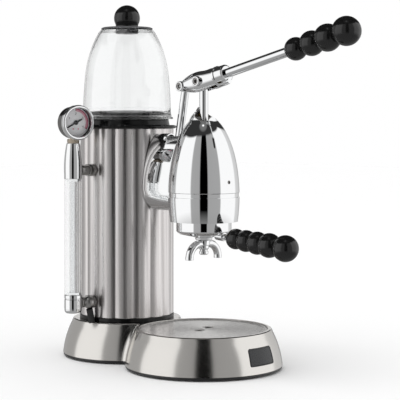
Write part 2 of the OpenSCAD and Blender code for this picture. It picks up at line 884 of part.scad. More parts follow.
// The link hangs from the tail of the head and leans to the column at its foot
module lever_link() {
  color(chrome) translate([0, -reach + tail_back, pin_z - tail_down]) rotate([link_lean, 0, 0]) difference() {
    union() {
      translate([0, 0, -link_len]) cylinder(r = 5.2, h = link_len);
      along_x(7, -5.4, 5.4);
      translate([0, 0, -link_len]) along_x(5.2, -5.2, 5.2);
      translate([0, 0, -link_len]) along_x(2, -8.4, 8.4);
    }
    along_x(pin_r + run_gap, -20, 20);
  }
}

// ---- portafilter ----

module portafilter_body() {
  color(chrome) at_group() difference() {
    union() {
      turned(concat(
        [[0, hub_z], [hub_r - 1, hub_z], [hub_r, hub_z + 1], [hub_r, 163.4]],
        bow([hub_r + 2, 163.8], [filter_r - 4, 167], 0.5, 3),
        bow([filter_r - 4, 167], [filter_r, 171], 1.1, 4),
        [[filter_r, body_rim_z], [0, body_rim_z]]
      ));
      for (s = [0, 180]) rotate(s - 22) rotate_extrude(angle = 44) translate([filter_r - 1, ear_z])
        square([ear_r - filter_r + 1, ear_h]);
      translate([0, 0, stem_z]) rotate([handle_droop, 0, 0]) along_y(4.9, -36, -28);
    }
    turned([[0, body_z + 2.5], [24, body_z + 2.5], [29.9, body_z + 7], [29.9, 200], [0, 200]]);
    translate([0, 0, hub_z - 1]) cylinder(r = 4.1, h = 20);
    translate([0, 0, stem_z]) rotate([handle_droop, 0, 0]) along_y(stem_r, -60, -31);
  }
}

module filter_basket() {
  floor_z = 172;
  color(steel) at_group() difference() {
    turned([
      [0, floor_z], [26, floor_z], [29.5, floor_z + 5], [29.5, body_rim_z], [33.2, body_rim_z],
      [33.2, body_rim_z + 0.9], [28.8, body_rim_z + 0.9], [28.8, floor_z + 5.2],
      [25.8, floor_z + 0.8], [0, floor_z + 0.8],
    ]);
    for (k = [1:4], i = [0:6 * k - 1]) rotate(i * 60 / k) translate([k * 5.4, 0, floor_z - 1])
      cylinder(r = 0.7, h = 4, $fn = 16);
  }
}

// One curved outlet of the twin spout, towards +X
module spout_arm() {
  translate([spout_out - spout_bend, 0, spout_tip_z + 2]) rotate([90, 0, 0])
    rotate_extrude(angle = 90) translate([spout_bend, 0]) circle(spout_r);
  translate([spout_out, 0, spout_tip_z]) cylinder(r = spout_r, h = 2.02);
  translate([0, 0, spout_tip_z + 2 + spout_bend]) along_x(spout_r, -1, spout_out - spout_bend + 0.01);
}

module spout_way() {
  translate([spout_out - spout_bend, 0, spout_tip_z + 2]) rotate([90, 0, 0])
    rotate_extrude(angle = 90) translate([spout_bend, 0]) circle(spout_r - 1.5);
  translate([spout_out, 0, spout_tip_z - 1]) cylinder(r = spout_r - 1.5, h = 3.02);
  translate([0, 0, spout_tip_z + 2 + spout_bend]) along_x(spout_r - 1.5, -1, spout_out - spout_bend + 0.01);
}

module portafilter_spout() {
  color(chrome) at_group() difference() {
    union() {
      spout_arm();
      mirror([1, 0, 0]) spout_arm();
      translate([0, 0, 146]) cylinder(r = 4.05, h = hub_z + 8 - 146);
      translate([0, 0, 153]) cylinder(r = 7.5, h = hub_z - 153);
      translate([0, 0, 141.5]) cylinder(r = 5.8, h = 4.6);
    }
    spout_way();
    mirror([1, 0, 0]) spout_way();
    translate([0, 0, 155.5]) cylinder(r = 2.6, h = 40);
  }
}

module portafilter_stem() {
  color(chrome) at_group() translate([0, 0, stem_z]) rotate([handle_droop, 0, 0]) {
    along_y(stem_r, -100, -31);
    translate([0, -44.5, 0]) rotate([-90, 0, 0]) cylinder(r1 = 6, r2 = 4.2, h = 5);
  }
}

module portafilter_grip() {
  color(black) at_group() translate([0, 0, stem_z]) rotate([90 + handle_droop, 0, 0])
    bead_grip(handle_at, handle_bead, 44.5, stem_r, 100);
}

// ---- steam ----

module steam_valve() {
  color(chrome) difference() {
    union() {
      translate([0, 0, steam_z]) along_x(6, 50, 80);
      translate([0, 0, steam_z]) along_x(11, 62.5, 66);
      translate([steam_at, 0, 226]) cylinder(r = 8.5, h = 20);
      translate([steam_at, 0, 246]) cylinder(r = 5, h = 6);
    }
    translate([0, 0, steam_z]) along_x(3, 49, 82);
    translate([steam_at, 0, 225]) cylinder(r = 2.5, h = 14);
    translate([steam_at, 0, 239]) cylinder(r = 2.5 + run_gap, h = 20);
  }
}

module steam_knob() {
  color(black) translate([steam_at, 0, 0]) {
    translate([0, 0, 240]) cylinder(r = 2.5, h = 14);
    difference() {
      translate([0, 0, 252.3]) cylinder(r = 14.5, h = 15);
      for (i = [0:9]) rotate(i * 36) translate([16.5, 0, 250]) cylinder(r = 3.4, h = 20);
    }
  }
}

// Below its elbow the wand leans back, and a hole runs up its tip
module steam_wand() {
  elbow_z = 198;
  wand_lean = 15;
  wand_r = 3.6;
  run = 84;
  color(chrome) translate([steam_at, 0, 0]) difference() {
    union() {
      translate([0, 0, 216]) cylinder(r = 6.2, h = 9.8);
      translate([0, 0, elbow_z]) cylinder(r = wand_r, h = 20);
      translate([0, 0, elbow_z]) sphere(wand_r + 0.6);
      translate([0, 0, elbow_z]) rotate([180 + wand_lean, 0, 0]) {
        cylinder(r = wand_r, h = run + 1);
        translate([0, 0, run]) cylinder(r1 = 4.8, r2 = 3, h = 12);
      }
    }
    translate([0, 0, elbow_z]) rotate([180 + wand_lean, 0, 0]) translate([0, 0, run - 20])
      cylinder(r = 1.8, h = 40);
  }
}

base_shell();
base_plate();
feet();
drip_tray();
drip_plate();
badge_plate();
power_switch();
power_rocker();
cord_gland();
column_foot_ring();
column_jacket();
boiler_body();
boiler_cap();
heating_element();
pressure_switch();
safety_valve();
feed_tube();
tank_tray();
tank_strainer();
tank_dome();
tank_lid();
lid_knob();
sight_top_fitting();
sight_guard_tube();
sight_inner_tube();
sight_bottom_cap();
sight_upper_arm();
sight_lower_arm();
sight_drain_tube();
gauge_case();
gauge_bezel();
gauge_dial();
gauge_needle();
gauge_glass();
neck_cover_lower();
neck_cover_upper();
neck_tube();
group_cover_lower();
group_cover_upper();
cover_screws();
group_cylinder();
group_cap();
group_gasket();
shower_screen();
piston();
piston_seals();
piston_rod();
lever_head();
lever_tube();
lever_grip();
lever_pins();
lever_link();
portafilter_body();
filter_basket();
portafilter_spout();
portafilter_stem();
portafilter_grip();
steam_valve();
steam_knob();
steam_wand();
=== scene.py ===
"""The looks of a lever espresso machine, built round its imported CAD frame.

Lengths are in millimetres and angles in degrees; MM turns them into Blender's metres.
+Z is up, -Y is the user's side, -X is the side of the sight glass.
"""
from math import acos, asin, atan2, copysign, cos, degrees, pi, radians, sin, sqrt, tan, tau

import bmesh
import bpy
from mathutils import Matrix, Vector


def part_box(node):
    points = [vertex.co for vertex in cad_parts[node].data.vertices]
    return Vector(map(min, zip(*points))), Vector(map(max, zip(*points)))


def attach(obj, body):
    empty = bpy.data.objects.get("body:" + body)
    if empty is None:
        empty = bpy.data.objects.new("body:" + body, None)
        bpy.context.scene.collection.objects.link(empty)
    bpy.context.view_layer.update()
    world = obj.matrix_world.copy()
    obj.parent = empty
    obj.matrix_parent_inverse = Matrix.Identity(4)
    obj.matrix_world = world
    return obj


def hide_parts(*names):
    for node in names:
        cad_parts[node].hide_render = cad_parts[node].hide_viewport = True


MM = 0.001
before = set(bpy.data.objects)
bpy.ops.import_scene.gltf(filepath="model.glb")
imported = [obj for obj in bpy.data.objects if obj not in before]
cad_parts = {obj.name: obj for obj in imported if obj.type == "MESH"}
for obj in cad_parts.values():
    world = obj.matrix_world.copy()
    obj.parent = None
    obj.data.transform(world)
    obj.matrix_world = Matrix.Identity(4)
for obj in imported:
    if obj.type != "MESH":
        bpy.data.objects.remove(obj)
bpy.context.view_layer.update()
scene = bpy.context.scene


# ---------------------------------------------------------------- places, from the frame

def shift(x, y, z):
    return Matrix.Translation((x, y, z))


def rotated(turned, axis):
    return Matrix.Rotation(radians(turned), 4, axis)


def low(node):
    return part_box(node)[0] / MM


def high(node):
    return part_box(node)[1] / MM


def middle(node):
    return (low(node) + high(node)) / 2


def half_size(node):
    return (high(node) - low(node)) / 2


reach = -middle("group_cap").y
sight_x = middle("sight_guard_tube").x
base_h = high("base_shell").z
column_r = high("column_jacket").x
jacket_z = low("column_jacket").z
column_top = high("column_jacket").z
GROUP = shift(0, -reach, 0)
SIGHT = shift(sight_x, 0, 0)


# ---------------------------------------------------------------- outlines

def steps_of(n):
    return [i / n for i in range(n + 1)]


def turns_of(n):
    """The angles of n even steps round, in radians."""
    return [tau * i / n for i in range(n)]


def bow(p, q, bulge, n=8):
    """Points from p to q on a shallow arc that bulges to the right of the way there."""
    p, q = Vector(p), Vector(q)
    along = q - p
    side = Vector((along.y, -along.x)).normalized()
    return [p + along * t + side * 4 * bulge * t * (1 - t) for t in steps_of(n)]


def on_circle(r, turned, z=None):
    """A point at a radius and an angle in radians, with a height if one is given."""
    flat = (r * cos(turned), r * sin(turned))
    return Vector(flat if z is None else (*flat, z))


def polar(r, turned, z=None):
    return on_circle(r, radians(turned), z)


def arc(centre, r, a, b, n=12):
    """Points on a circle from angle a to angle b."""
    made = []
    for t in steps_of(n):
        turned = radians(a + (b - a) * t)
        made.append(Vector((centre[0] + r * cos(turned), centre[1] + r * sin(turned))))
    return made


def rounded(points, closed=False, n=5):
    """A polyline with an arc at each corner that gives a third number, its radius."""
    made = []
    for i, point in enumerate(points):
        here = Vector(point[:2])
        radius = point[2] if len(point) > 2 else 0
        if radius == 0 or (not closed and i in (0, len(points) - 1)):
            made.append(here)
            continue
        before = (Vector(points[i - 1][:2]) - here)
        after = (Vector(points[(i + 1) % len(points)][:2]) - here)
        half = before.angle(after) / 2
        reach_out = min(radius / tan(half), 0.49 * before.length, 0.49 * after.length)
        radius = reach_out * tan(half)
        start = here + before.normalized() * reach_out
        end = here + after.normalized() * reach_out
        centre = here + (before.normalized() + after.normalized()).normalized() * radius / sin(half)
        for t in steps_of(n):
            spoke = (start - centre).slerp(end - centre, t).normalized() * radius
            made.append(centre + spoke)
    return made


# ---------------------------------------------------------------- mesh building
# A part is (points, faces). Parts are placed with a matrix and joined into pieces.

def placed(part, matrix):
    return [matrix @ Vector(p) for p in part[0]], part[1]


def joined(*parts):
    points, faces = [], []
    for some, corners in parts:
        start = len(points)
        points += [Vector(p) for p in some]
        faces += [[start + c for c in face] for face in corners]
    return points, faces


def skin(rows, round_columns=True, round_rows=False):
    """Quads between rows of the same number of points."""
    points = [p for row in rows for p in row]
    n = len(rows[0])
    faces = []
    for i in range(len(rows) if round_rows else len(rows) - 1):
        a, b = i * n, (i + 1) % len(rows) * n
        for j in range(n if round_columns else n - 1):
            k = (j + 1) % n
            faces.append([a + j, a + k, b + k, b + j])
    return points, faces


def closed_skin(rows):
    """A skin whose first and last rows are filled in too."""
    points, faces = skin(rows)
    n = len(rows[0])
    last = len(points) - n
    return points, faces + [list(range(n))[::-1], list(range(last, last + n))]


def circle(r, z, steps):
    """A row of points round Z; r is a number or a function of the angle in radians."""
    return [on_circle(r(turned) if callable(r) else r, turned, z) for turned in turns_of(steps)]


def lathe(profile, steps=128):
    """A surface of revolution round Z from (radius, height) points; a zero radius closes it."""
    points, faces, rings = [], [], []
    for r, z in profile:
        start = len(points)
        if r < 1e-6:
            points.append(Vector((0, 0, z)))
            rings.append([start] * steps)
            continue
        points += circle(r, z, steps)
        rings.append([start + i for i in range(steps)])
    for a, b in zip(rings, rings[1:]):
        for i in range(steps):
            k = (i + 1) % steps
            corners = [a[i], a[k], b[k], b[i]]
            face = [c for j, c in enumerate(corners) if c not in corners[:j]]
            if len(face) > 2:
                faces.append(face)
    return points, faces


def turning(profile, steps=128, place=None, n=5):
    """A lathe part from a profile with corner radii, put in its place."""
    part = lathe(rounded(profile, n=n), steps)
    return part if place is None else placed(part, place)


def rod(r, z0, z1, steps=48, place=None, edges=(0, 0)):
    """A plain cylinder with a radius to each of its two edges."""
    return turning([(0, z0), (r, z0, edges[0]), (r, z1, edges[1]), (0, z1)], steps, place)


def ring_of(profile, steps=128):
    """A closed section turned round Z."""
    return lathe(list(profile) + [profile[0]], steps)


def prism(outline, z0, z1):
    n = len(outline)
    points = [Vector((p[0], p[1], z)) for z in (z0, z1) for p in outline]
    faces = [[i, (i + 1) % n, n + (i + 1) % n, n + i] for i in range(n)]
    return points, faces + [list(range(n))[::-1], list(range(n, 2 * n))]


def sweep(path, radius, steps=28):
    """A round bar along a path; radius is one number or one for each point."""
    path = [Vector(p) for p in path]
    side = None
    rows = []
    for i, here in enumerate(path):
        ahead = (path[min(i + 1, len(path) - 1)] - path[max(i - 1, 0)]).normalized()
        side = ahead.orthogonal() if side is None else side - ahead * side.dot(ahead)
        side.normalize()
        up = ahead.cross(side)
        r = radius[i] if isinstance(radius, (list, tuple)) else radius
        rows.append([here + side * r * cos(turned) + up * r * sin(turned) for turned in turns_of(steps)])
    return closed_skin(rows)


def box_outline(x0, y0, x1, y1):
    return [(x0, y0), (x1, y0), (x1, y1), (x0, y1)]


def hexagon(r):
    return [(r * cos(radians(60 * i)), r * sin(radians(60 * i))) for i in range(6)]


def hex_nut(r, z0, z1, chamfer=0.9):
    """A six-sided nut whose corners are turned down at both faces."""
    flat = r * cos(radians(30))
    rows = []
    for z, limit in ((z0, flat), (z0 + chamfer, r), (z1 - chamfer, r), (z1, flat)):
        row = []
        for turned in turns_of(48):
            across = flat / cos((turned + pi / 6) % (pi / 3) - pi / 6)
            row.append(on_circle(min(across, limit), turned + pi / 6, z))
        rows.append(row)
    return closed_skin(rows)


def fill_between(outer, inner):
    """A flat ring between two loops of points at the same height."""
    made = bmesh.new()
    for loop in (outer, inner):
        corners = [made.verts.new(p) for p in loop]
        for a, b in zip(corners, corners[1:] + corners[:1]):
            made.edges.new((a, b))
    bmesh.ops.triangle_fill(made, use_beauty=True, edges=made.edges[:])
    made.verts.index_update()
    points = [v.co.copy() for v in made.verts]
    faces = [[v.index for v in f.verts] for f in made.faces]
    made.free()
    return points, faces


def mesh_of(name, part):
    mesh = bpy.data.meshes.new(name)
    mesh.from_pydata([tuple(Vector(p) * MM) for p in part[0]], [], part[1])
    tidy = bmesh.new()
    tidy.from_mesh(mesh)
    bmesh.ops.remove_doubles(tidy, verts=tidy.verts[:], dist=0.002 * MM)
    bmesh.ops.recalc_face_normals(tidy, faces=tidy.faces[:])
    tidy.to_mesh(mesh)
    tidy.free()
    return mesh


def with_modifiers(obj):
    """Replaces the object's mesh by what its modifiers make of it."""
    bpy.context.view_layer.update()
    made = bpy.data.meshes.new_from_object(obj.evaluated_get(bpy.context.evaluated_depsgraph_get()))
    obj.modifiers.clear()
    obj.data = made


def piece(name, part, finish, nodes=(), body="machine", cuts=(), thick=0, bevel=0, sharp=32):
    """Makes a piece, finishes its edges and shading, and ties it to the frame.
    """
    obj = bpy.data.objects.new(name, mesh_of(name, part))
    scene.collection.objects.link(obj)
    cutters = []
    if thick:
        shell = obj.modifiers.new("shell", "SOLIDIFY")
        shell.thickness = thick * MM
        shell.offset = -1
        shell.use_even_offset = False
        with_modifiers(obj)
    for i, cut in enumerate(cuts):
        cutter = bpy.data.objects.new(f"{name}_cutter_{i}", mesh_of("cutter", cut))
        scene.collection.objects.link(cutter)
        cutters.append(cutter)
        difference = obj.modifiers.new("cut", "BOOLEAN")
        difference.operation = "DIFFERENCE"
        difference.solver = "EXACT"
        difference.object = cutter
        with_modifiers(obj)
    for cutter in cutters:
        bpy.data.objects.remove(cutter)
    if bevel:
        edge = obj.modifiers.new("edge", "BEVEL")
        edge.width = bevel * MM
        edge.segments = 4
        edge.limit_method = "ANGLE"
        edge.angle_limit = radians(28)
        with_modifiers(obj)
    mesh = obj.data
    mesh.polygons.foreach_set("use_smooth", [True] * len(mesh.polygons))
    mesh.set_sharp_from_angle(angle=radians(sharp))
    weighted = obj.modifiers.new("weighted", "WEIGHTED_NORMAL")
    weighted.keep_sharp = True
    mesh.materials.clear()
    mesh.materials.append(finish)
    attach(obj, body)
    if nodes:
        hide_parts(*nodes)


# ---------------------------------------------------------------- materials

def add_node(tree, kind, **settings):
    """A shader node with values for its sockets, where _ stands for a space, or for its settings."""
    made = tree.nodes.new("ShaderNode" + kind)
    for key, value in settings.items():
        socket = key.replace("_", " ")
        if socket in made.inputs:
            made.inputs[socket].default_value = value
        else:
            setattr(made, key, value)
    return made


class Finish:
    """A material round one Principled shader, with helpers that add procedural nodes."""

    def __init__(self, name, color, roughness, **fixed):
        self.material = bpy.data.materials.new(name)
        self.material.use_nodes = True
        self.tree = self.material.node_tree
        self.inputs = next(n for n in self.tree.nodes if n.type == "BSDF_PRINCIPLED").inputs
        self.inputs["Base Color"].default_value = (*color, 1)
        self.inputs["Roughness"].default_value = roughness
        for socket, value in fixed.items():
            self.inputs[socket.replace("_", " ")].default_value = value

    def node(self, kind, **settings):
        return add_node(self.tree, kind, **settings)

    def link(self, a, b):
        self.tree.links.new(a, b)

    def noise(self, scale, stretch=(1, 1, 1), detail=3):
        """Noise in the object's own space; scale counts its cells in a metre."""
        place = self.node("TexCoord")
        mapping = self.node("Mapping", Scale=stretch)
        self.link(place.outputs["Object"], mapping.inputs["Vector"])
        cloud = self.node("TexNoise", Scale=scale, Detail=detail)
        self.link(mapping.outputs["Vector"], cloud.inputs["Vector"])
        return cloud.outputs["Fac"]

    def rings(self, centre, scale, detail=2):
        """Fine rings round a vertical axis, as a lathe or a polishing wheel leaves them."""
        place = self.node("TexCoord")
        offset = self.node("VectorMath", operation="SUBTRACT")
        offset.inputs[1].default_value = (centre[0] * MM, centre[1] * MM, 0)
        flat = self.node("VectorMath", operation="MULTIPLY")
        flat.inputs[1].default_value = (1, 1, 0.4)
        length = self.node("VectorMath", operation="LENGTH")
        cloud = self.node("TexNoise", noise_dimensions="1D", Scale=scale, Detail=detail)
        self.link(place.outputs["Object"], offset.inputs[0])
        self.link(offset.outputs[0], flat.inputs[0])
        self.link(flat.outputs[0], length.inputs[0])
        self.link(length.outputs["Value"], cloud.inputs["W"])
        return cloud.outputs["Fac"]

    def spread(self, source, low_value, high_value):
        mapped = self.node("MapRange", From_Min=0.3, From_Max=0.7, To_Min=low_value, To_Max=high_value)
        self.link(source, mapped.inputs["Value"])
        return mapped.outputs["Result"]

    def roughness(self, source, low_value, high_value):
        self.link(self.spread(source, low_value, high_value), self.inputs["Roughness"])
        return self

    def bump(self, source, depth, strength=1.0):
        """Relief of a depth in millimetres."""
        bump = self.node("Bump", Strength=strength, Distance=depth * MM)
        self.link(source, bump.inputs["Height"])
        self.link(bump.outputs["Normal"], self.inputs["Normal"])
        return self

    def tint(self, source, dark, bright):
        ramp = self.node("ValToRGB")
        for element, position, color in zip(ramp.color_ramp.elements, (0.32, 0.68), (dark, bright)):
            element.position = position
            element.color = (*color, 1)
        self.link(source, ramp.inputs["Fac"])
        self.link(ramp.outputs["Color"], self.inputs["Base Color"])
        return self


def chrome_finish(name, color, low_r, high_r):
    made = Finish(name, color, low_r, Metallic=1.0)
    return made.roughness(made.noise(60), low_r, high_r).material


def base_steel_finish():
    made = Finish("base_steel", (0.71, 0.69, 0.66), 0.16, Metallic=1.0)
    made.roughness(made.noise(900, (0.3, 0.3, 3)), 0.13, 0.21)
    return made.bump(made.noise(1500, (0.12, 0.12, 4), 2), 0.004, 0.35).material


def plate_steel_finish():
    made = Finish("plate_steel", (0.64, 0.62, 0.60), 0.24, Metallic=0.62, Anisotropic=0.6)
    tangent = made.node("Tangent", direction_type="RADIAL", axis="Z")
    made.link(tangent.outputs["Tangent"], made.inputs["Tangent"])
    grain = made.rings((0, -reach), 2600)
    made.roughness(grain, 0.18, 0.32)
    made.bump(grain, 0.004, 0.5)
    return made.tint(made.noise(330, detail=5), (0.36, 0.35, 0.34), (0.86, 0.84, 0.82)).material


def column_steel_finish():
    made = Finish("column_steel", (0.70, 0.67, 0.66), 0.24, Metallic=1.0)
    streaks = made.noise(700, (1, 1, 0.012), 4)
    made.roughness(streaks, 0.24, 0.36)
    made.bump(streaks, 0.006, 0.4)
    return made.tint(made.noise(260, (1, 1, 0.02), 3), (0.60, 0.575, 0.57), (0.80, 0.775, 0.765)).material


def pewter_finish():
    made = Finish("pewter", (0.42, 0.41, 0.40), 0.32, Metallic=1.0)
    made.roughness(made.noise(800), 0.26, 0.4)
    return made.bump(made.noise(1400, detail=4), 0.02, 0.4).material


def plastic_finish(name, color, low_r, high_r, depth=0.01, scale=700, **fixed):
    made = Finish(name, color, low_r, **fixed)
    made.roughness(made.noise(scale * 0.4), low_r, high_r)
    return made.bump(made.noise(scale, detail=4), depth, 0.5).material


def clear_finish(name, color, roughness=0.0, ior=1.49):
    made = Finish(name, color, roughness, IOR=ior, Transmission_Weight=1.0)
    return made.tint(made.noise(30), [0.99 * c for c in color], color).material


def brass_finish():
    made = Finish("brass", (0.80, 0.62, 0.30), 0.25, Metallic=1.0)
    made.roughness(made.noise(500), 0.18, 0.35)
    return made.bump(made.rings((0, -reach), 1800), 0.006, 0.4).material


def sheet_finish(name, color, low_r, high_r):
    made = Finish(name, color, low_r, Metallic=1.0)
    made.roughness(made.noise(400, (1, 1, 0.2)), low_r, high_r)
    return made.bump(made.noise(1200, (1, 1, 0.1), 3), 0.008, 0.4).material


chrome = chrome_finish("chrome", (0.86, 0.865, 0.87), 0.015, 0.05)
dull_chrome = chrome_finish("gauge_steel", (0.27, 0.265, 0.26), 0.1, 0.2)
nickel = chrome_finish("nut_nickel", (0.60, 0.52, 0.42), 0.2, 0.34)
base_steel = base_steel_finish()
plate_steel = plate_steel_finish()
column_steel = column_steel_finish()
pewter = pewter_finish()
brass = brass_finish()
cast_inside = plastic_finish("cast_inside", (0.62, 0.61, 0.60), 0.5, 0.65)
inner_steel = sheet_finish("inner_steel", (0.55, 0.55, 0.54), 0.22, 0.38)
fastener = sheet_finish("fastener", (0.34, 0.33, 0.32), 0.25, 0.4)
black_gloss = plastic_finish("black_gloss", (0.006, 0.006, 0.006), 0.10, 0.2, 0.006, 500,
                             Specular_IOR_Level=0.55)
black_satin = plastic_finish("black_satin", (0.014, 0.014, 0.015), 0.28, 0.42)
black_tray = plastic_finish("black_tray", (0.005, 0.005, 0.005), 0.1, 0.18, 0.004, 500, Specular_IOR_Level=0.3)
lid_grey = plastic_finish("lid_grey", (0.10, 0.10, 0.105), 0.35, 0.5)
rubber = plastic_finish("rubber", (0.02, 0.02, 0.02), 0.6, 0.8, 0.03)
badge_black = plastic_finish("badge_enamel", (0.018, 0.019, 0.021), 0.22, 0.36, 0.02, 1400)
tank_clear = clear_finish("tank_clear", (0.965, 0.97, 0.97))
guard_clear = clear_finish("guard_clear", (0.975, 0.98, 0.98), ior=1.45)
tube_clear = clear_finish("tube_clear", (0.90, 0.905, 0.91))
pane_clear = clear_finish("pane_clear", (0.995, 0.995, 0.995), ior=1.12)
dial_white = plastic_finish("dial_enamel", (0.93, 0.925, 0.94), 0.4, 0.55, 0.004)
dial_black = plastic_finish("dial_black", (0.02, 0.02, 0.02), 0.4, 0.5, 0.004)
dial_red = plastic_finish("dial_red", (0.52, 0.05, 0.14), 0.4, 0.5, 0.004)
dial_rose = plastic_finish("dial_rose", (0.78, 0.38, 0.46), 0.4, 0.5, 0.004)


# ---------------------------------------------------------------- base

front_r = -(low("base_shell").y + reach)
rear_r = high("base_shell").y
shell_z = low("base_shell").z
flank_lean = 13
flank_bow = 2.2
top_round = 2.6
waist_round = 7
well_r = half_size("drip_tray").x + 0.3
ledge_z = high("drip_tray").z - 1
badge_z = middle("badge_plate").z
badge_turn = radians(3)


def base_outline(inset, z):
    """The two lobes' outline, moved in, with a concave round at each side of the waist."""
    front, rear = front_r - inset, rear_r - inset
    to_front, to_rear = front + waist_round, rear + waist_round
    y = -(to_rear ** 2 - to_front ** 2 + reach ** 2) / (2 * reach)
    x = sqrt(to_rear ** 2 - y ** 2)
    up = degrees(atan2(y, x))
    down = degrees(atan2(y + reach, x))
    made = arc((0, 0), rear, up, 180 - up, 96)
    made += arc((-x, y), waist_round, -up, -down, 12)[1:]
    made += arc((0, -reach), front, 180 - down, 360 + down, 128)[1:]
    made += arc((x, y), waist_round, 180 + down, 180 + up, 12)[1:-1]
    return [Vector((p.x, p.y, z)) for p in made]


def base_flank():
    """How far in the flank stands at each height, from the bottom edge to the top sheet."""
    line = bow((0, shell_z), (flank_lean, base_h - top_round), -flank_bow, 14)
    top = rounded([line[-2], (flank_lean + 0.8, base_h, top_round), (flank_lean + 3.7, base_h)], n=8)
    return line[:-1] + top[1:]


def base_body():
    rows = [base_outline(p.x, p.y) for p in base_flank()]
    edge = [(well_r + 1.4, base_h), (well_r, base_h, 0.9), (well_r, ledge_z), (well_r - 7, ledge_z)]
    well = turning(edge, 180, GROUP, n=6)
    rim = well[0][:180]
    return joined(skin(rows), fill_between(rows[-1], rim), well)


piece("base_body", base_body(), base_steel, ["base_shell"], thick=1.5, sharp=40)


front_feet_r = 84
rear_feet_r = 68


def feet_part():
    """Four pads under the front lobe, two under the rear one and one in the middle of that."""
    pad = turning([(0, 0), (9, 0, 0.8), (10, 2.2), (0, 2.2)], 48)
    spots = [shift(0, 0, 0)]
    spots += [GROUP @ Matrix.Translation(polar(front_feet_r, a, 0)) for a in (40, 140, 220, 320)]
    spots += [Matrix.Translation(polar(rear_feet_r, a, 0)) for a in (50, 130)]
    return joined(*[placed(pad, spot) for spot in spots])


piece("feet_pads", feet_part(), rubber, ["feet"])


def base_bottom():
    rows = [base_outline(d, z) for d, z in ((3.4, 2), (0.9, 2), (0.5, 2.6), (0.5, shell_z))]
    return closed_skin(rows)


piece("bottom_plate", base_bottom(), black_satin, ["base_plate"])

plate_r = high("drip_plate").x
plate_low = low("drip_plate").z
plate_high = high("drip_plate").z
hole_r = 6.4
hole_x, hole_y = 12.9, 5.4


def drip_plate_part():
    return turning([
        (0, plate_high - 0.6), (plate_r - 5, plate_high - 0.6, 1.5), (plate_r - 3.6, plate_high, 1),
        (plate_r, plate_high, 0.6), (plate_r, plate_low, 0.3), (0, plate_low),
    ], 200, GROUP)


def finger_hole(side):
    profile = rounded([(0, -9), (hole_r, -9), (hole_r, -0.2, 1.0), (hole_r + 1.6, 0.6), (0, 0.6)])
    return placed(lathe(profile, 64), shift(side * hole_x, side * hole_y - reach, plate_high - 0.9))


piece("drip_plate_disc", drip_plate_part(), plate_steel, ["drip_plate"], body="drip_plate",
      cuts=[finger_hole(-1), finger_hole(1)])


def badge_part():
    """A blank plate with a raised rim, wrapped onto the front of the base."""
    wide, tall, corner = 43, 21, 2.5
    thick = 1.15
    line = base_flank()

    def on_flank(u, v, out):
        z = badge_z + v
        above = next(i for i in range(1, len(line)) if line[i].y >= z)
        a, b = line[above - 1], line[above]
        inset = a.x + (b.x - a.x) * (z - a.y) / (b.y - a.y)
        r = front_r - inset + out
        turned = u / front_r + badge_turn
        return Vector((r * sin(turned), -reach - r * cos(turned), z))

    def loop(inset):
        half_w, half_h = wide / 2 - inset, tall / 2 - inset
        corners = [(-half_w, -half_h, corner), (half_w, -half_h, corner), (half_w, half_h, corner),
                   (-half_w, half_h, corner)]
        made = rounded(corners, closed=True, n=8)
        fine = []
        for i, (p, q) in enumerate(zip(made, made[1:] + made[:1])):
            parts = 12 if i % 9 == 8 else 1
            fine += [p.lerp(q, k / parts) for k in range(parts)]
        return fine

    def row(inset, out):
        return [on_flank(p.x, p.y, out) for p in loop(inset)]

    rows = [row(0, -0.4), row(0, thick - 0.3), row(0.3, thick), row(1.1, thick), row(1.5, thick - 0.45)]
    for share in (0.75, 0.5, 0.25, 0.02):
        rows.append([on_flank(p.x * share, p.y * share, thick - 0.45) for p in loop(1.5)])
    points, faces = skin(rows)
    n = len(rows[0])
    return points, faces + [list(range(len(points) - n, len(points)))]


piece("badge_blank", badge_part(), badge_black, ["badge_plate"], sharp=30)

# ---------------------------------------------------------------- column

flutes = 16
flute_r = 22
flute_at = column_r - flute_r


def column_outline():
    """Sixteen shallow crowns that meet in narrow creases; a crown faces the user's side."""
    half = 180 / flutes
    crease = flute_at * cos(radians(half)) + sqrt(flute_r ** 2 - (flute_at * sin(radians(half))) ** 2)
    made = []
    for i in range(flutes):
        middle_turn = -90 + i * 360 / flutes
        centre = polar(flute_at, middle_turn)
        edge = polar(crease, middle_turn + half) - centre
        reach_turn = degrees(atan2(edge.y, edge.x)) - middle_turn
        reach_turn = (reach_turn + 180) % 360 - 180
        made += arc(centre, flute_r, middle_turn - reach_turn, middle_turn + reach_turn, 14)[:-1]
    return made


def column_part():
    outline = column_outline()
    heights = [jacket_z, jacket_z + 0.8, column_top - 0.8, column_top]
    shrink = [0.995, 1, 1, 0.995]
    rows = [[Vector((p.x * s, p.y * s, z)) for p in outline] for z, s in zip(heights, shrink)]
    return skin(rows)


piece("column_flutes", column_part(), column_steel, ["column_jacket"], thick=1.2, sharp=24)
piece("column_ring", turning([(56, base_h), (column_r + 0.6, base_h, 0.5), (column_r + 0.6, jacket_z, 1),
                              (56, jacket_z)], 160), black_tray, ["column_foot_ring"])

# ---------------------------------------------------------------- water tank

flange_r = high("tank_tray").x
flange_z = low("tank_tray").z
collar_z = flange_z + 4.5
dome_z = low("tank_dome").z
dome_top = high("tank_dome").z
dome_wall = 2.2


def tank_tray_part():
    return ring_of(rounded([
        (51, collar_z - 2), (5, collar_z - 2), (5, flange_z), (flange_r - 3, flange_z, 1),
        (flange_r, flange_z + 1.2, 1.6), (flange_r, collar_z - 0.9, 1.2), (flange_r - 1.8, collar_z, 0.8),
        (56.5, collar_z, 0.8), (55, dome_z, 0.5), (53.8, dome_z), (53.8, dome_z + 3, 0.5),
        (51, dome_z + 3, 0.5),
    ]), 180)


piece("tank_saucer", tank_tray_part(), black_tray, ["tank_tray"])


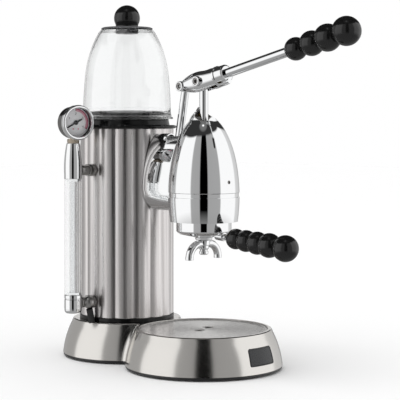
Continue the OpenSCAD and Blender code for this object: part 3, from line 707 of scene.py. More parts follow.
def strainer_part():
    body = rounded([(16, collar_z), (16, collar_z + 4), (34, collar_z + 4, 1), (34, collar_z + 14, 1.5),
                    (4.6, collar_z + 14, 0.6), (4.6, collar_z)])
    return ring_of(body, 96)


def strainer_slots():
    slot = lathe([(0, 0), (2.4, 0), (2.4, 14), (0, 14)], 20)
    spots = [Matrix.Rotation(turned, 4, "Z") @ shift(24, 0, collar_z + 3) for turned in turns_of(12)]
    return [joined(*[placed(slot, spot) for spot in spots])]


piece("tank_filter", strainer_part(), black_satin, ["tank_strainer"], cuts=strainer_slots())


def dome_line(d):
    """The dome's outline, at a depth d inside its outer face."""
    wall = bow((57.9 - d, dome_z + 9), (55.6 - d, 364), 0.5, 6)
    crown = bow((55.4 - d, 367), (35 - d * 0.7, dome_top - d), 3.9, 22)
    return wall + crown


def dome_part():
    outside = dome_line(0)
    inside = dome_line(dome_wall)
    foot = [(54, dome_z, 0.3), (61, dome_z, 0.6), (61, dome_z + 2.4, 0.8), (59.2, dome_z + 3.2, 1.2)]
    top = [(33.6, dome_top, 0.8), (16.5, dome_top, 0.6), (16.5, dome_top - dome_wall, 0.6),
           (32.6, dome_top - dome_wall, 0.8)]
    return ring_of(rounded(foot + outside[:-1] + top + inside[-2::-1] + [(54.6, dome_z + 4, 1)]), 200)


piece("tank_bell", dome_part(), tank_clear, ["tank_dome"], sharp=40)

lid_z = high("tank_dome").z + 0.2
knob_r = half_size("lid_knob").x
knob_z = low("lid_knob").z
ball_z = high("lid_knob").z - knob_r


def lid_part():
    return turning([
        (0, lid_z - 5.6), (15, lid_z - 5.6, 1.2), (15, lid_z), (34, lid_z, 0.6), (34, lid_z + 1.4, 0.9),
        (31.5, lid_z + 2.4, 1.2), (0, lid_z + 2.4),
    ], 160)


def knob_part():
    """A ball on a short waisted foot."""
    foot_r = 15.2
    meet = degrees(asin(-(ball_z - knob_z - 5) / knob_r))
    ball = arc((0, ball_z), knob_r, meet, 90, 40)
    return lathe([Vector((0, knob_z)), Vector((foot_r, knob_z)), Vector((foot_r, knob_z + 1.6)),
                  Vector((foot_r - 0.5, knob_z + 2.6))] + ball[:-1] + [Vector((0, ball_z + knob_r))], 128)


piece("lid_disc", lid_part(), lid_grey, ["tank_lid"], body="tank_cover")
piece("lid_ball", knob_part(), black_gloss, ["lid_knob"], body="tank_cover")

# ---------------------------------------------------------------- sight glass

glass_low = low("sight_guard_tube").z
glass_high = high("sight_guard_tube").z
guard_r = half_size("sight_guard_tube").x
nut_z = 280
upper_z = middle("sight_upper_arm").z
lower_z = middle("sight_lower_arm").z


def top_fitting_part():
    bullet = bow((11.6, glass_high + 6), (8.6, nut_z), 1.2, 24)
    return turning([(0, glass_high - 3), (9.4, glass_high - 3), (9.4, glass_high), (11.6, glass_high, 0.5)]
                                + bullet[:-1] + [(8.6, nut_z, 0.7), (0, nut_z)], 96, SIGHT)


def gauge_nut_part():
    spigot = lathe([(0, nut_z + 5), (4.5, nut_z + 5), (4.5, nut_z + 7.6), (0, nut_z + 7.6)], 48)
    return placed(joined(hex_nut(8.4, nut_z, nut_z + 5.6), spigot), SIGHT)


def bottom_cap_part():
    cup = bow((6, 63), (11.2, 68.3), 2, 10)
    return turning([(0, 63)] + cup + [(11.4, 69.5), (11.4, glass_low - 6, 0.4), (11.0, glass_low - 5.4),
                                                   (11.0, glass_low - 4.4), (11.4, glass_low - 4),
                                                   (11.4, glass_low, 0.8), (9.4, glass_low),
                                                   (9.4, glass_low + 3), (0, glass_low + 3)], 96, SIGHT)


def clear_tube(r_out, wall, z0, z1):
    section = [(r_out, z0, 0.4), (r_out, z1, 0.4), (r_out - wall, z1, 0.4), (r_out - wall, z0, 0.4)]
    return placed(ring_of(rounded(section, closed=True, n=4), 96), SIGHT)


piece("glass_head", top_fitting_part(), chrome, ["sight_top_fitting"])
piece("glass_nut", gauge_nut_part(), nickel)
piece("glass_foot", bottom_cap_part(), chrome, ["sight_bottom_cap"])
piece("glass_guard", clear_tube(guard_r, 1.6, glass_low, glass_high), guard_clear, ["sight_guard_tube"])
piece("glass_gauge_tube", clear_tube(5, 1.3, glass_low - 5, glass_high + 3), tube_clear,
      ["sight_inner_tube"])


drain = Vector((-71, -7, 0))
drain_ball_r = 8


def arm_part(z, body_r, x_end, drained):
    """An arm with a flange plate against the column, and the ball of the drain tube if it's drained."""
    lie = shift(0, 0, z) @ rotated(-90, "Y")
    from_x = -x_end
    bar = turning([(0, 50), (4.5, 50), (4.5, 62), (body_r, 62), (body_r, from_x - 3, 1), (body_r - 0.8, from_x),
                         (0, from_x)], 48)
    collar = rod(body_r + 1.6, 66, 69, 48, edges=(0, 0.8))
    plate = prism(rounded([(-7.5, -7, 3), (0, -12.4, 3), (7.5, -7, 3), (7.5, 7, 3), (0, 12.4, 3), (-7.5, 7, 3)],
                          closed=True, n=5), 61.8, 66.2)
    parts = [placed(part, lie) for part in (bar, collar, plate)]
    if drained:
        ball = lathe(arc((0, 0), drain_ball_r, -90, 90, 20)[1:-1], 48)
        parts.append(placed(ball, shift(drain.x, drain.y, z)))
    return joined(*parts)


piece("glass_arm_upper", arm_part(upper_z, 6.3, -80.1, False), pewter, ["sight_upper_arm"], bevel=0.5)
piece("glass_arm_lower", arm_part(lower_z, 6.5, -80.55, True), pewter, ["sight_lower_arm"], bevel=0.5)

# ---------------------------------------------------------------- pressure gauge

gauge_z = middle("gauge_bezel").z
gauge_turn = -12
gauge_fwd = 3
case_half = 11
bezel_r = half_size("gauge_bezel").z
GAUGE = shift(sight_x, 0, gauge_z) @ rotated(gauge_turn, "Z") @ rotated(90, "X") @ shift(0, 0, gauge_fwd)
dial_z = case_half - 8
face_z = dial_z + 0.8
ink_h = 0.12
dial_sweep = 118


def gauge_case_part():
    return turning([
        (0, -case_half), (16, -case_half, 3), (20.4, -case_half + 3.4, 3), (20.4, case_half, 0.3),
        (19.2, case_half, 0.3), (19.2, dial_z), (0, dial_z),
    ], 128, GAUGE, n=8)


def bezel_part():
    return placed(ring_of(rounded([
        (20.45, case_half - 4), (bezel_r, case_half - 4, 0.8), (bezel_r, case_half + 1.2, 1.6),
        (bezel_r - 1.6, case_half + 2.5, 1.2), (bezel_r - 3.2, case_half + 2.3, 0.5), (18.4, case_half + 0.9),
        (20.45, case_half + 0.9),
    ]), 160), GAUGE)


def ink(outline):
    """Something printed on the dial's face."""
    return prism(outline, face_z, face_z + ink_h)


def dial_stroke(turn, r0, r1, wide):
    """A printed bar of the scale, at a turn clockwise from the top."""
    return placed(ink(box_outline(r0, -wide / 2, r1, wide / 2)), rotated(90 - turn, "Z"))


def dial_band(turn0, turn1, r0, r1):
    a, b = 90 - turn0, 90 - turn1
    n = max(4, round(abs(b - a) / 3))
    return ink(arc((0, 0), r1, a, b, n) + arc((0, 0), r0, b, a, n))


# The bars of each figure: top, upper left, upper right, middle, lower left, lower right, bottom
FIGURES = {0: "1110111", 1: "0010010", 2: "1011101", 3: "1011011", 4: "0111010"}


def figure_part(figure, x, y, wide, tall):
    """A figure of straight bars, as plain as on any gauge."""
    half, bar = tall / 2, 0.42
    bars = [(0, half, wide, bar), (-wide / 2, half / 2, bar, half), (wide / 2, half / 2, bar, half),
            (0, 0, wide, bar), (-wide / 2, -half / 2, bar, half), (wide / 2, -half / 2, bar, half),
            (0, -half, wide, bar)]
    parts = []
    for shown, (cx, cy, w, h) in zip(FIGURES[figure], bars):
        if shown == "1":
            parts.append(ink(box_outline(cx + x - w / 2, cy + y - h / 2, cx + x + w / 2, cy + y + h / 2)))
    return joined(*parts)


def dial_scale_part():
    """Long and short strokes with a thin line over the lower half, a stop, and the figures 0 to 4."""
    parts = [dial_band(-dial_sweep, 0, 17.5, 17.9), dial_stroke(-129, 13.6, 17.2, 0.9)]
    for i in range(21):
        long = i % 5 == 0
        turned = -dial_sweep + dial_sweep / 10 * i
        if long or turned <= 2:
            parts.append(dial_stroke(turned, 14.8 if long else 16.2, 17.7, 0.6 if long else 0.36))
    for i in range(5):
        turned = radians(90 + dial_sweep - dial_sweep / 2 * i)
        parts.append(figure_part(i, 11.2 * cos(turned), 11.2 * sin(turned), 1.4, 2.6))
    return placed(joined(*parts), GAUGE)


def dial_pale_arc_part():
    dot = lathe([(0, face_z), (1.1, face_z), (1.1, face_z + ink_h), (0, face_z + ink_h)], 24)
    dots = [placed(dot, shift(x, -8, 0)) for x in (-3.6, 3.6)]
    return placed(joined(dial_band(0, dial_sweep, 14.2, 16.7), *dots), GAUGE)


def needle_part():
    z = case_half - 6.6
    hub = rod(3, z, z + 1.2, 32, edges=(0, 0.5))
    pin = lathe([(0, z - 1.2), (1.15, z - 1.2), (1.15, z), (0, z)], 24)
    hand = prism([(-9.5, -1), (0, -1.2), (16, -0.35), (16, 0.35), (0, 1.2), (-9.5, 1)], z, z + 0.8)
    return placed(joined(hub, pin, hand), GAUGE @ rotated(208, "Z"))


def gauge_pane_part():
    crown = [Vector((18.9 * (1 - t), case_half + 0.5 - 0.6 * (1 - t) ** 2)) for t in steps_of(8)]
    return placed(lathe([(0, case_half - 1.1), (18.9, case_half - 1.1)] + crown, 128), GAUGE)


piece("gauge_can", gauge_case_part(), dull_chrome, ["gauge_case"])
piece("gauge_rim", bezel_part(), chrome, ["gauge_bezel"])
piece("gauge_face", rod(19.1, dial_z, face_z, 128, GAUGE, edges=(0, 0.2)), dial_white, ["gauge_dial"])
piece("gauge_marks", dial_scale_part(), dial_black)
piece("gauge_red_arc", placed(dial_band(2, dial_sweep, 16.7, 17.8), GAUGE), dial_red)
piece("gauge_pale_arc", dial_pale_arc_part(), dial_rose)
piece("gauge_hand", needle_part(), dial_black, ["gauge_needle"], body="gauge_needle",
      bevel=0.15)
piece("gauge_pane", gauge_pane_part(), pane_clear, ["gauge_glass"])
# A thin black ring round the dial's edge, just inside the case wall: painted shade standing for the shadow in
# the gap between dial and bezel
painted_shade_ring = ring_of(box_outline(18.95, face_z + 0.05, 19.15, case_half - 1.3), 128)
piece("gauge_painted_shade_ring", placed(painted_shade_ring, GAUGE), black_satin)

# ---------------------------------------------------------------- neck cover

egg_r = half_size("group_cover_lower").x
egg_half_h = 102.5
egg_z = 215
seam_z = 213.5
seam_h = 5.5
neck_r = 24.6
neck_h = 74.6
neck_z = 218
skirt_z = low("group_cover_lower").z


def egg_at(z, d=0):
    """Radius of the egg at a height, moved in by d."""
    return (egg_r - d) * sqrt(max(0, 1 - ((z - egg_z) / (egg_half_h - d)) ** 2))


def neck_side(z, d=0):
    """Half the neck cover's width at a height."""
    high = neck_h if z > neck_z else neck_r
    return (neck_r - d) * sqrt(max(0, 1 - ((z - neck_z) / (high - d)) ** 2))


neck_top = neck_z + neck_h
slot_half = 7.5
slot_back = -reach + 59


def neck_rows(outline):
    """Lines of the cover from the column to the egg, one row for each point of its section."""
    rows = []
    for x, z in outline:
        start = -sqrt((column_r + 0.4) ** 2 - x ** 2)
        end = -reach + sqrt(max(0, egg_at(z, -0.35) ** 2 - x ** 2))
        stops = [start, start - 1.2]
        stops += [slot_back + (end + 1.2 - slot_back) * t for t in steps_of(8)]
        stops.append(end)
        row = [Vector((x, y, z)) for y in stops]
        tuck = Vector((x, z - egg_z)).normalized() * 0.7
        for i in (0, -1):
            row[i] = Vector((x - tuck.x, stops[i], z - tuck.y))
        rows.append(row)
    return rows


def neck_upper_part():
    z0 = seam_z + seam_h
    first = degrees(asin((z0 - neck_z) / neck_h))
    last = degrees(acos(slot_half / neck_r))
    right = []
    for t in steps_of(24):
        turned = radians(first + (last - first) * t)
        right.append((neck_r * cos(turned), neck_z + neck_h * sin(turned)))
    right += [(slot_half * t, neck_z + neck_h * sqrt(1 - (slot_half * t / neck_r) ** 2)) for t in (0.66, 0.33)]
    outline = right + [(0, neck_top)] + [(-x, z) for x, z in reversed(right)]
    rows = neck_rows(outline)
    points, faces = skin(rows, round_columns=False)
    kept = []
    for face in faces:
        centre = sum((points[c] for c in face), Vector()) / len(face)
        in_slot = abs(centre.x) < slot_half - 0.2 and centre.y < slot_back
        if not in_slot:
            kept.append(face)
    return points, kept


def neck_lower_part():
    right = [(neck_side(z, 0.8), z) for z in [seam_z + 0.4 + (seam_h - 0.4) * t for t in steps_of(4)][::-1]]
    first = degrees(asin((neck_z - seam_z) / neck_r))
    for t in steps_of(22)[:-1]:
        turned = radians(first + (90 - first) * t)
        right.append((neck_r * cos(turned), neck_z - neck_r * sin(turned)))
    outline = right + [(0.0, neck_z - neck_r)] + [(-x, z) for x, z in reversed(right)]
    return skin(neck_rows(outline), round_columns=False)


piece("neck_upper", neck_upper_part(), chrome, ["neck_cover_upper"], thick=1.4, sharp=40)
piece("neck_lower", neck_lower_part(), chrome, ["neck_cover_lower"], thick=1.4, sharp=30)

# ---------------------------------------------------------------- group covers


# The rim's height by degrees from the rear, and the horns' radius by height
RIM = [(0, 326), (25, 325.4), (45, 322.5), (60, 319), (75, 316), (90, 313), (105, 310.6), (120, 308.8),
       (135, 308), (150, 309), (165, 312.2), (180, 314.4)]
HORN = [(306, 19.4), (310, 17.8), (314.4, 15.8), (318.5, 12.4), (322, 9.6), (326, 7.6)]


def along_table(table, at):
    """A smooth value between the table's entries."""
    i = next((k for k in range(1, len(table)) if table[k][0] >= at), len(table) - 1)
    (x0, y0), (x1, y1) = table[i - 1], table[i]
    before = table[max(i - 2, 0)]
    after = table[min(i + 1, len(table) - 1)]
    t = min(1, max(0, (at - x0) / (x1 - x0)))
    m0 = (y1 - before[1]) / (x1 - before[0]) * (x1 - x0)
    m1 = (after[1] - y0) / (after[0] - x0) * (x1 - x0)
    return ((2 * t ** 3 - 3 * t ** 2 + 1) * y0 + (t ** 3 - 2 * t ** 2 + t) * m0
            + (3 * t ** 2 - 2 * t ** 3) * y1 + (t ** 3 - t ** 2) * m1)


def cover_radius(z):
    """The egg's radius, which above its shoulder gives way to the horns' leaner line."""
    if z < 305:
        return egg_at(z)
    lean = along_table(HORN, max(z, 306))
    share = min(1, (z - 305) / 5)
    share = share * share * (3 - 2 * share)
    return egg_at(min(z, 311)) * (1 - share) + lean * share


def upper_egg_part(inset=0):
    """The upper cover: its rim dips at both sides and rises into a front and a rear horn."""
    z0 = seam_z + seam_h
    steps = 200
    columns = []
    for i in range(steps):
        turned = 360 * i / steps
        top = along_table(RIM, abs((turned - 90 + 180) % 360 - 180))
        heights = [z0 + 0.01, z0 + 0.6] + [z0 + 0.6 + (top - z0 - 0.6) * t for t in steps_of(56)[1:]]
        column = [polar(cover_radius(z) - inset, turned, z) for z in heights]
        column[0] = polar(cover_radius(heights[0]) - inset - 0.5, turned, heights[0])
        columns.append(column)
    return placed(skin(list(zip(*columns))), GROUP)


def lower_egg_part():
    heights = [skirt_z + (seam_z - skirt_z) * t for t in steps_of(18)]
    profile = [(egg_at(z), z) for z in heights]
    band = [(egg_at(seam_z) - 0.9, seam_z + up) for up in (0.35, seam_h, seam_h + 2)]
    return placed(lathe(profile + band, 160), GROUP)


screw_turns = (0, 90)
screw_z = 233


def at_screw(part, turned):
    spot = shift(0, -egg_at(screw_z), screw_z) @ rotated(90, "X")
    return placed(part, GROUP @ rotated(turned, "Z") @ spot)


def screw_hole(turned):
    return at_screw(lathe([(0, -4), (1.7, -4), (1.7, -0.5), (2.9, 0.9), (0, 0.9)], 32), turned)


def screws_part():
    head = rounded([(0, -6), (1.5, -6), (1.5, -1.2), (2.8, 0, 0.2), (1.7, 0.1, 0.2), (1.4, -1.2), (0, -1.2)])
    return joined(*[at_screw(lathe(head, 32), turned) for turned in screw_turns])


piece("egg_lining", upper_egg_part(1.52), cast_inside, thick=0.2, sharp=40)
piece("egg_upper", upper_egg_part(), chrome, ["group_cover_upper"], thick=1.5, sharp=40,
      cuts=[screw_hole(turned) for turned in screw_turns])
piece("egg_lower", lower_egg_part(), chrome, ["group_cover_lower"], thick=1.5, sharp=30)
piece("egg_screws", screws_part(), fastener, ["cover_screws"])

# ---------------------------------------------------------------- lever

lever_angle = 13
rod_r = 5.6
head_pin_z = 358
LEVER = shift(0, -reach, head_pin_z) @ rotated(-lever_angle, "X")
tail_back, tail_down = 32, 5.6
tail_y = tail_back * cos(radians(lever_angle)) + tail_down * sin(radians(lever_angle))
tail_z = tail_back * sin(radians(lever_angle)) - tail_down * cos(radians(lever_angle))
fork_in, fork_end = 6.1, -13
tail_out, boss_out, boss_r = 13.0, 15.5, 6.3
lever_r = 5.9
tube_end = 226
ACROSS = rotated(90, "Y")
FORWARD = rotated(90, "X")


def pushed(share):
    """A cosine or sine pushed outwards a little, for a section just fuller than an ellipse."""
    return copysign(abs(share) ** (2 / 2.05), share)


def head_part():
    """A fish-shaped head: rounded sections lofted from the tail to the socket's collar."""
    stations = [(tail_y + out, tail_z, half_h, half_w)
                for out, half_h, half_w in ((7.2, 0.4, 7.0), (6.4, 3.4, 9.0), (4, 5.9, 10.4))]
    for t in steps_of(20):
        y = tail_y - (tail_y + 27) * t
        up = min(1, (tail_y - y) / (tail_y + 8))
        down = min(1, (tail_y - y) / (tail_y - 6))
        top = tail_z + 7.5 + (6 - tail_z) * up + 14 * up * (1 - up) - 0.1 * max(0, -8 - y)
        bottom = tail_z - 7.3 - (7 + tail_z) * down - 6.4 * down * (1 - down)
        stations.append((y, (top + bottom) / 2, (top - bottom) / 2, 11.2 + 0.8 * t))
    rows = [[Vector((half_w * pushed(cos(turned)), y, mid + half_h * pushed(sin(turned))))
             for turned in turns_of(64)] for y, mid, half_h, half_w in stations]
    return placed(closed_skin(rows), LEVER)


def head_slot():
    block = prism(box_outline(-fork_in, fork_end, fork_in, 60), -40, 40)
    end = prism(arc((0, fork_end), fork_in, 0, 360, 32)[:-1], -40, 40)
    return [placed(block, LEVER), placed(end, LEVER)]


def boss_part(y, z, out, r):
    profile = rounded([(r - 1.9, -out + 1.4), (r - 1.9, -out, 0.3), (r, -out, 0.8), (r, out, 0.8),
                       (r - 1.9, out, 0.3), (r - 1.9, out - 1.4)])
    return placed(lathe(profile, 64), LEVER @ shift(0, y, z) @ ACROSS)


def collar_part():
    """The socket that holds the tube, with a lug under it."""
    collar = turning([(0, 26), (12.6, 26), (12.6, 28.5, 0.6), (11.6, 29.5, 0.8), (11.3, 40.5, 1.4),
                            (9.2, 42, 0.8), (lever_r, 42)], 96, n=6)
    lug = sweep([(0, -24, -9.5), (0, -36, -9.8), (0, -44, -10.4)], [4.6, 4.3, 3.2], 24)
    return joined(placed(collar, LEVER @ FORWARD), placed(lug, LEVER))


piece("lever_fork", head_part(), chrome, ["lever_head"], body="lever", cuts=head_slot(), bevel=0.8,
      sharp=34)
piece("lever_socket", collar_part(), chrome, body="lever")
piece("lever_bosses", joined(boss_part(0, 0, boss_out, boss_r), boss_part(tail_y, tail_z, tail_out, boss_r)),
      chrome, body="lever")


def pin_part(y, z, out):
    bar = turning([(0, -out + 0.7), (4.3, -out + 0.7, 0.4), (4.3, -out + 2.5), (3, -out + 2.5), (3, out - 2.5),
                         (4.3, out - 2.5), (4.3, out - 0.7, 0.4), (0, out - 0.7)], 48)
    return placed(bar, LEVER @ shift(0, y, z) @ ACROSS)


def pin_socket(y, z, out):
    hollow = prism(hexagon(2.7), out - 3, out + 3)
    both = joined(hollow, placed(hollow, Matrix.Rotation(pi, 4, "X")))
    return placed(both, LEVER @ shift(0, y, z) @ ACROSS)


pins = ((0, 0, boss_out), (tail_y, tail_z, tail_out))
piece("lever_pin_set", joined(*[pin_part(*pin) for pin in pins]), fastener, ["lever_pins"], body="lever",
      cuts=[pin_socket(*pin) for pin in pins])
piece("lever_bar", placed(lathe([(lever_r - 1.5, 32), (lever_r, 32), (lever_r, 60), (lever_r, 100),
                                 (lever_r, tube_end), (lever_r - 1.5, tube_end)], 96), LEVER @ FORWARD),
      chrome, ["lever_tube"], body="lever")


def beads_line(places, radii, start, hole_r):
    """Outline of a turned grip of overlapping beads, with a fine groove where two meet."""
    line = [Vector((hole_r, start)), ]
    first_drop = degrees(asin(max(-1, (start - places[0]) / radii[0])))
    begin = first_drop
    for i, (z, r) in enumerate(zip(places, radii)):
        if i + 1 < len(places):
            gap = places[i + 1] - z
            cross = (gap ** 2 + r ** 2 - radii[i + 1] ** 2) / (2 * gap)
            end = degrees(asin(cross / r))
            next_begin = degrees(asin((cross - gap) / radii[i + 1]))
        else:
            end = 90
            next_begin = 0
        line += arc((0, z), r, begin, end, 22)
        begin = next_begin
    line[-1].x = 0
    return line


def grip_part(places, radii, start, hole_r):
    return lathe(beads_line(places, radii, start, hole_r), 112)


grip_at = [157, 182, 206.5, 235]
grip_bead = [13.9, 15, 16.3, 17.25]
handle_at = [56, 73, 91.5, 111, 137]
handle_bead = [12.7, 13.35, 14, 14.9, 16]

piece("lever_beads", placed(grip_part(grip_at, grip_bead, grip_at[0] - 13.4, lever_r), LEVER @ FORWARD),
      black_gloss, ["lever_grip"], body="lever", sharp=30)

link_len, link_lean = 95, 11
LINK = (shift(0, -reach + tail_back, head_pin_z - tail_down) @ rotated(link_lean, "X"))


def link_part():
    bar = turning([(0, -link_len - 4), (4.6, -link_len - 4, 1), (5.2, -link_len, 1), (5.2, -2), (0, 0)], 64)
    eye = rod(7, -5.4, 5.4, 48, ACROSS, edges=(0.6, 0.6))
    foot = rod(2, -8.4, 8.4, 32, shift(0, 0, -link_len) @ ACROSS, edges=(0.3, 0.3))
    return placed(joined(bar, eye, foot), LINK)


piece("link_bar", link_part(), chrome, ["lever_link"], body="link")


def rod_part():
    bar = turning([(0, 214), (rod_r, 214), (rod_r, 300), (rod_r, head_pin_z), (0, head_pin_z)], 80)
    eye = rod(7.4, -rod_r, rod_r, 48, shift(0, 0, head_pin_z) @ ACROSS, edges=(0.6, 0.6))
    return placed(joined(bar, eye), GROUP)


piece("piston_bar", rod_part(), chrome, ["piston_rod"], body="piston_assembly")

# ---------------------------------------------------------------- portafilter

filter_r = 34.7
stem_z = 168.6
handle_droop = 4.5
HANDLE = (GROUP @ shift(0, 0, stem_z) @ rotated(handle_droop, "X") @ FORWARD)
hub_z = 160


def bowl_part():
    body = ring_of(rounded([
        (4.1, hub_z), (10.4, hub_z, 0.8), (11, hub_z + 3.2, 0.6), (13.5, 163.9, 1.2), (filter_r - 5, 167.2, 3),
        (filter_r, 170.6, 3), (filter_r, 192, 0.7), (29.9, 192, 0.4), (29.9, 175), (24, 170.5), (4.1, 170.5),
    ], n=7), 160)
    ears = []
    for turned in (0, 180):
        outline = arc((0, 0), 36.8, turned - 22, turned + 22, 16)
        outline += arc((0, 0), 33, turned + 22, turned - 22, 16)
        ears.append(prism(outline, 188.2, 191.8))
    boss = rod(5.6, 24, 36.2, 48, shift(0, 0, stem_z) @ rotated(handle_droop, "X") @ FORWARD, edges=(0, 1))
    return placed(joined(body, *ears, boss), GROUP)


piece("filter_bowl", bowl_part(), chrome, ["portafilter_body"], body="portafilter", sharp=34)

spout_r = 5
spout_bend = 17
spout_out = 25
spout_tip_z = 135.9


def spout_part():
    arms = []
    path = [(0, 0, spout_tip_z + 2 + spout_bend)]
    for p in arc((spout_out - spout_bend, spout_tip_z + 2), spout_bend, 90, 0, 20):
        path.append((p.x, 0, p.y))
    path.append((spout_out, 0, spout_tip_z))
    for side in (1, -1):
        flip = Matrix.Diagonal((side, 1, 1, 1))
        radii = [spout_r] * (len(path) - 3) + [spout_r + 0.1, spout_r + 0.25, spout_r]
        arms.append(placed(sweep(path, radii, 40), flip))
    post = turning([
        (0, 141.5), (4.4, 141.5, 0.8), (5.8, 142.6, 0.6), (5.8, 145.6, 0.8), (4.6, 146.4), (4.4, 147),
        (6.4, 149, 2), (6.4, 153), (7.5, 153.4, 0.8), (7.5, 159.6, 0.8), (4, 160), (4, 167), (0, 167),
    ], 64)
    return placed(joined(*arms, post), GROUP)


def spout_bores():
    section = [(0, -2), (spout_r - 0.9, -2), (spout_r - 1.4, 1.0, 0.6), (spout_r - 1.4, 9), (0, 9)]
    return [turning(section, 32, GROUP @ shift(side * spout_out, 0, spout_tip_z)) for side in (1, -1)]


piece("twin_spout", spout_part(), chrome, ["portafilter_spout"], body="portafilter", cuts=spout_bores())


def stem_part():
    return turning([
        (0, 31), (3.9, 31), (3.9, 38, 3), (4.3, 41), (6.0, 44.2, 0.5), (6.0, 44.9, 0.2), (3.9, 45),
        (3.9, 60), (0, 60),
    ], 64, HANDLE)


piece("handle_stem", stem_part(), chrome, ["portafilter_stem"], body="portafilter")
piece("handle_beads", placed(grip_part(handle_at, handle_bead, 44.9, 3.9), HANDLE), black_gloss,
      ["portafilter_grip"], body="portafilter", sharp=30)

# ---------------------------------------------------------------- steam valve, knob and wand

steam_x = middle("steam_knob").x
STEAM = shift(steam_x, 0, 0)
steam_z = 236


def steam_valve_part():
    body = turning([(0, 226), (7.6, 226, 0.6), (8.5, 228, 0.6), (8.5, 244, 1.2), (6.4, 246, 0.6), (5, 246.4),
                                 (5, 252), (0, 252)], 64, STEAM)
    pipe = turning([(0, 50), (6, 50), (6, 62), (11, 62), (11, 65.4, 0.8), (9, 66.2, 0.5), (6, 66.2),
                                 (6, steam_x - 4), (0, steam_x - 4)], 64, shift(0, 0, steam_z) @ ACROSS)
    return joined(body, pipe)


def steam_knob_part():
    knob_wide = 14.3
    stem_low = low("steam_knob").z
    knob_low = stem_low + 12.3
    knob_high = high("steam_knob").z
    rows = []
    for z, inset in ((knob_low, 2.2), (knob_low + 0.8, 0.8), (knob_low + 2.4, 0), (knob_high - 3.4, 0),
                     (knob_high - 1.2, 0.7), (knob_high, 2.6), (knob_high, 7), (knob_high - 0.6, 8.5)):
        depth = 0.9 if inset < 3 else 0
        rows.append(circle(lambda turned: knob_wide - inset - depth * max(0, cos(10 * turned)) ** 2, z, 120))
    cap = closed_skin(rows)
    stem = lathe([(0, stem_low), (2.5, stem_low), (2.5, knob_low + 1), (0, knob_low + 1)], 32)
    return placed(joined(cap, stem), STEAM)


def wand_part():
    elbow_z, wand_r, lean, run = 198, 3.6, 15, 84
    ahead = Vector((0, sin(radians(lean)), -cos(radians(lean))))
    elbow = Vector((0, 0, elbow_z))
    path = [Vector((0, 0, 218)), Vector((0, 0, elbow_z + 8))]
    for t in steps_of(8)[1:]:
        a = Vector((0, 0, elbow_z + 8)).lerp(elbow, t)
        b = elbow.lerp(elbow + ahead * 8, t)
        path.append(a.lerp(b, t))
    path += [elbow + ahead * run]
    tube = sweep(path, wand_r, 32)
    way = Vector((0, 0, -1)).rotation_difference(ahead).to_matrix().to_4x4()
    tip = turning([(0, -run - 12), (2.6, -run - 12, 0.5), (4.8, -run, 1), (4.8, -run + 2, 0.5), (0, -run + 2)],
                  40)
    nut = turning([(0, 216), (5.4, 216), (6.2, 217, 0.4), (6.2, 225, 0.6), (0, 225.8)], 48)
    return placed(joined(tube, placed(tip, Matrix.Translation(elbow) @ way), nut), STEAM)


piece("steam_body", steam_valve_part(), chrome, ["steam_valve"])
piece("steam_wheel", steam_knob_part(), black_gloss, ["steam_knob"], body="steam_knob")
piece("steam_pipe", wand_part(), chrome, ["steam_wand"], body="steam_wand")

# ---------------------------------------------------------------- carried-over CAD nodes

CARRIED = (
    (plate_steel, ("drip_tray",)),
    (black_satin, ("power_switch", "cord_gland")),
    (black_gloss, ("power_rocker",)),
    (inner_steel, ("boiler_body", "boiler_cap", "heating_element", "pressure_switch", "feed_tube",
                   "shower_screen", "filter_basket")),
    (brass, ("safety_valve", "neck_tube", "group_cylinder", "group_cap", "piston")),
    (rubber, ("sight_drain_tube", "group_gasket", "piston_seals")),
)
for finish, nodes in CARRIED:
    for node in nodes:
        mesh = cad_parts[node].data
        mesh.materials.clear()
        mesh.materials.append(finish)

# ---------------------------------------------------------------- studio

CAMERA_AT = (-1.221, -1.367, 0.311)
CAMERA_WAY = (0.705, 0.710, 0)

camera_data = bpy.data.cameras.new("camera")
camera = bpy.data.objects.new("camera", camera_data)
scene.collection.objects.link(camera)
scene.camera = camera
look = Vector(CAMERA_WAY).normalized()
camera.location = CAMERA_AT
camera.rotation_euler = look.to_track_quat("-Z", "Y").to_euler()
camera_data.sensor_width = 36
camera_data.lens = 124.3
camera_data.shift_y = -0.2025
camera_data.clip_end = 50

floor_mesh = bpy.data.meshes.new("floor")
floor_mesh.from_pydata([(-6, -6, 0), (6, -6, 0), (6, 6, 0), (-6, 6, 0)], [], [(0, 1, 2, 3)])
floor = bpy.data.objects.new("floor", floor_mesh)
scene.collection.objects.link(floor)
floor_finish = Finish("floor_white", (0.93, 0.93, 0.93), 0.9)
floor_finish.roughness(floor_finish.noise(20), 0.85, 0.95)
floor_mesh.materials.append(floor_finish.material)
floor.visible_glossy = False

# Bands of the studio round the machine, in degrees to the right of the way from it to the camera's side
STUDIO_BANDS = [
    (-180, 0.22), (-166, 0.24), (-158, 0.45), (-106, 0.45), (-102, 1.1), (-45, 1.1), (-41, 0.42), (-14, 0.40),
    (-12, 0.0), (12, 0.0), (14, 0.40), (54, 0.42), (57, 1.1), (120, 1.1), (126, 0.75), (158, 0.6), (166, 0.24),
    (180, 0.22),
]
# How high the windows and screens reach, in degrees above level, by the same bearing
CEILING_EDGE = [
    (-180, 4), (-150, 10), (-107, 29.5), (-42, 45), (0, 49), (60, 48), (111, 40), (129, 28), (166, 6), (180, 4),
]
# The ceiling lamp's bearing and height, in degrees
LAMP = (-8, 73)
# Its brightness, and the dark ceiling's, by the cosine of the angle from its middle
LAMP_FALL = [(0, 0.035), (0.955, 0.035), (0.975, 0.16), (0.9965, 0.2), (0.998, 1.5), (1, 1.5)]
FLOOR_GREY = 0.36
# A low bright window straight behind the machine, which the flat tops reflect
BACK_WINDOW = 0.85


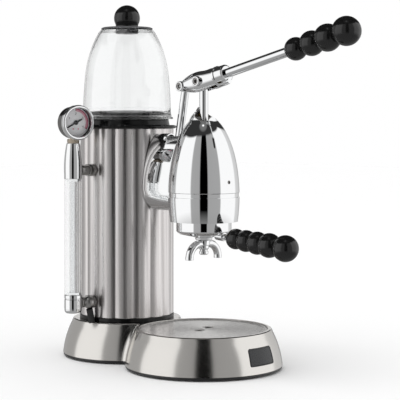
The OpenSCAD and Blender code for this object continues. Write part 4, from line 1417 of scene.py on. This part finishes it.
def studio_world():
    world = bpy.data.worlds.new("studio")
    scene.world = world
    world.use_nodes = True
    tree = world.node_tree
    background = next(n for n in tree.nodes if n.type == "BACKGROUND")

    def node(kind, **settings):
        return add_node(tree, kind, **settings)

    def math_node(operation, a, b=None):
        made = node("Math", operation=operation)
        for socket, value in zip(made.inputs, (a, b)):
            if value is None:
                continue
            if isinstance(value, (int, float)):
                socket.default_value = value
            else:
                tree.links.new(value, socket)
        return made.outputs[0]

    def clamped(operation, a, b):
        made = math_node(operation, a, b)
        made.node.use_clamp = True
        return made

    def ramp_of(source, stops):
        made = node("ValToRGB")
        ramp = made.color_ramp
        ramp.elements[0].position, ramp.elements[1].position = 0, 1
        for spot, value in stops[1:-1]:
            ramp.elements.new(spot)
        for element, (spot, value) in zip(ramp.elements, stops):
            element.position = spot
            element.color = (value, value, value, 1)
        tree.links.new(source, made.inputs["Fac"])
        return made.outputs["Color"]

    place = node("TexCoord")
    away = Vector((-look.x, -look.y, 0))
    right = Vector((look.y, -look.x, 0))
    dots = []
    for axis in (away, right):
        dot = node("VectorMath", operation="DOT_PRODUCT")
        tree.links.new(place.outputs["Generated"], dot.inputs[0])
        dot.inputs[1].default_value = axis
        dots.append(dot.outputs["Value"])
    split = node("SeparateXYZ")
    tree.links.new(place.outputs["Generated"], split.inputs[0])
    azimuth = math_node("ARCTAN2", dots[1], dots[0])
    share = math_node("ADD", math_node("DIVIDE", azimuth, tau), 0.5)
    bands = ramp_of(share, [((a + 180) / 360, v) for a, v in STUDIO_BANDS])
    height = split.outputs["Z"]
    floor_share = clamped("DIVIDE", math_node("SUBTRACT", -0.2, height), 0.25)
    top_edge = ramp_of(share, [((a + 180) / 360, sin(radians(v))) for a, v in CEILING_EDGE])
    over = clamped("DIVIDE", math_node("SUBTRACT", height, top_edge), 0.04)
    lamp_way = (away * cos(radians(LAMP[0])) + right * sin(radians(LAMP[0]))) * cos(
        radians(LAMP[1])) + Vector((0, 0, sin(radians(LAMP[1]))))
    lamp_dot = node("VectorMath", operation="DOT_PRODUCT")
    tree.links.new(place.outputs["Generated"], lamp_dot.inputs[0])
    lamp_dot.inputs[1].default_value = lamp_way
    lamp = ramp_of(lamp_dot.outputs["Value"], LAMP_FALL)

    def mix(amount, a, b):
        made = node("Mix", data_type="RGBA")
        tree.links.new(amount, made.inputs[0])
        for socket, value in zip((made.inputs[6], made.inputs[7]), (a, b)):
            if isinstance(value, float):
                socket.default_value = (value, value, value, 1)
            else:
                tree.links.new(value, socket)
        return made.outputs[2]

    studio = mix(floor_share, bands, FLOOR_GREY)
    studio = mix(over, studio, lamp)
    behind = math_node("MULTIPLY", clamped("DIVIDE", math_node("SUBTRACT", -0.94, dots[0]), 0.02),
                       math_node("MULTIPLY", clamped("DIVIDE", math_node("SUBTRACT", height, 0.03), 0.04),
                                 clamped("DIVIDE", math_node("SUBTRACT", 0.24, height), 0.04)))
    studio = mix(behind, studio, BACK_WINDOW)
    path = node("LightPath")
    ahead = clamped("DIVIDE", math_node("SUBTRACT", math_node("MULTIPLY", dots[0], -1.0), 0.8), 0.12)
    through = math_node("MULTIPLY", path.outputs["Is Transmission Ray"], ahead)
    seen_plain = math_node("MAXIMUM", path.outputs["Is Camera Ray"], through)
    studio = mix(path.outputs["Is Diffuse Ray"], studio, 0.85)
    studio = mix(seen_plain, studio, 1.0)
    tree.links.new(studio, background.inputs["Color"])


studio_world()

sun_data = bpy.data.lights.new("soft_sun", "SUN")
sun_data.energy = 1.0
sun_data.angle = radians(50)
sun = bpy.data.objects.new("soft_sun", sun_data)
sun.rotation_euler = (radians(-14), radians(-22), 0)
sun.visible_glossy = False
scene.collection.objects.link(sun)
scene.view_settings.view_transform = "Standard"
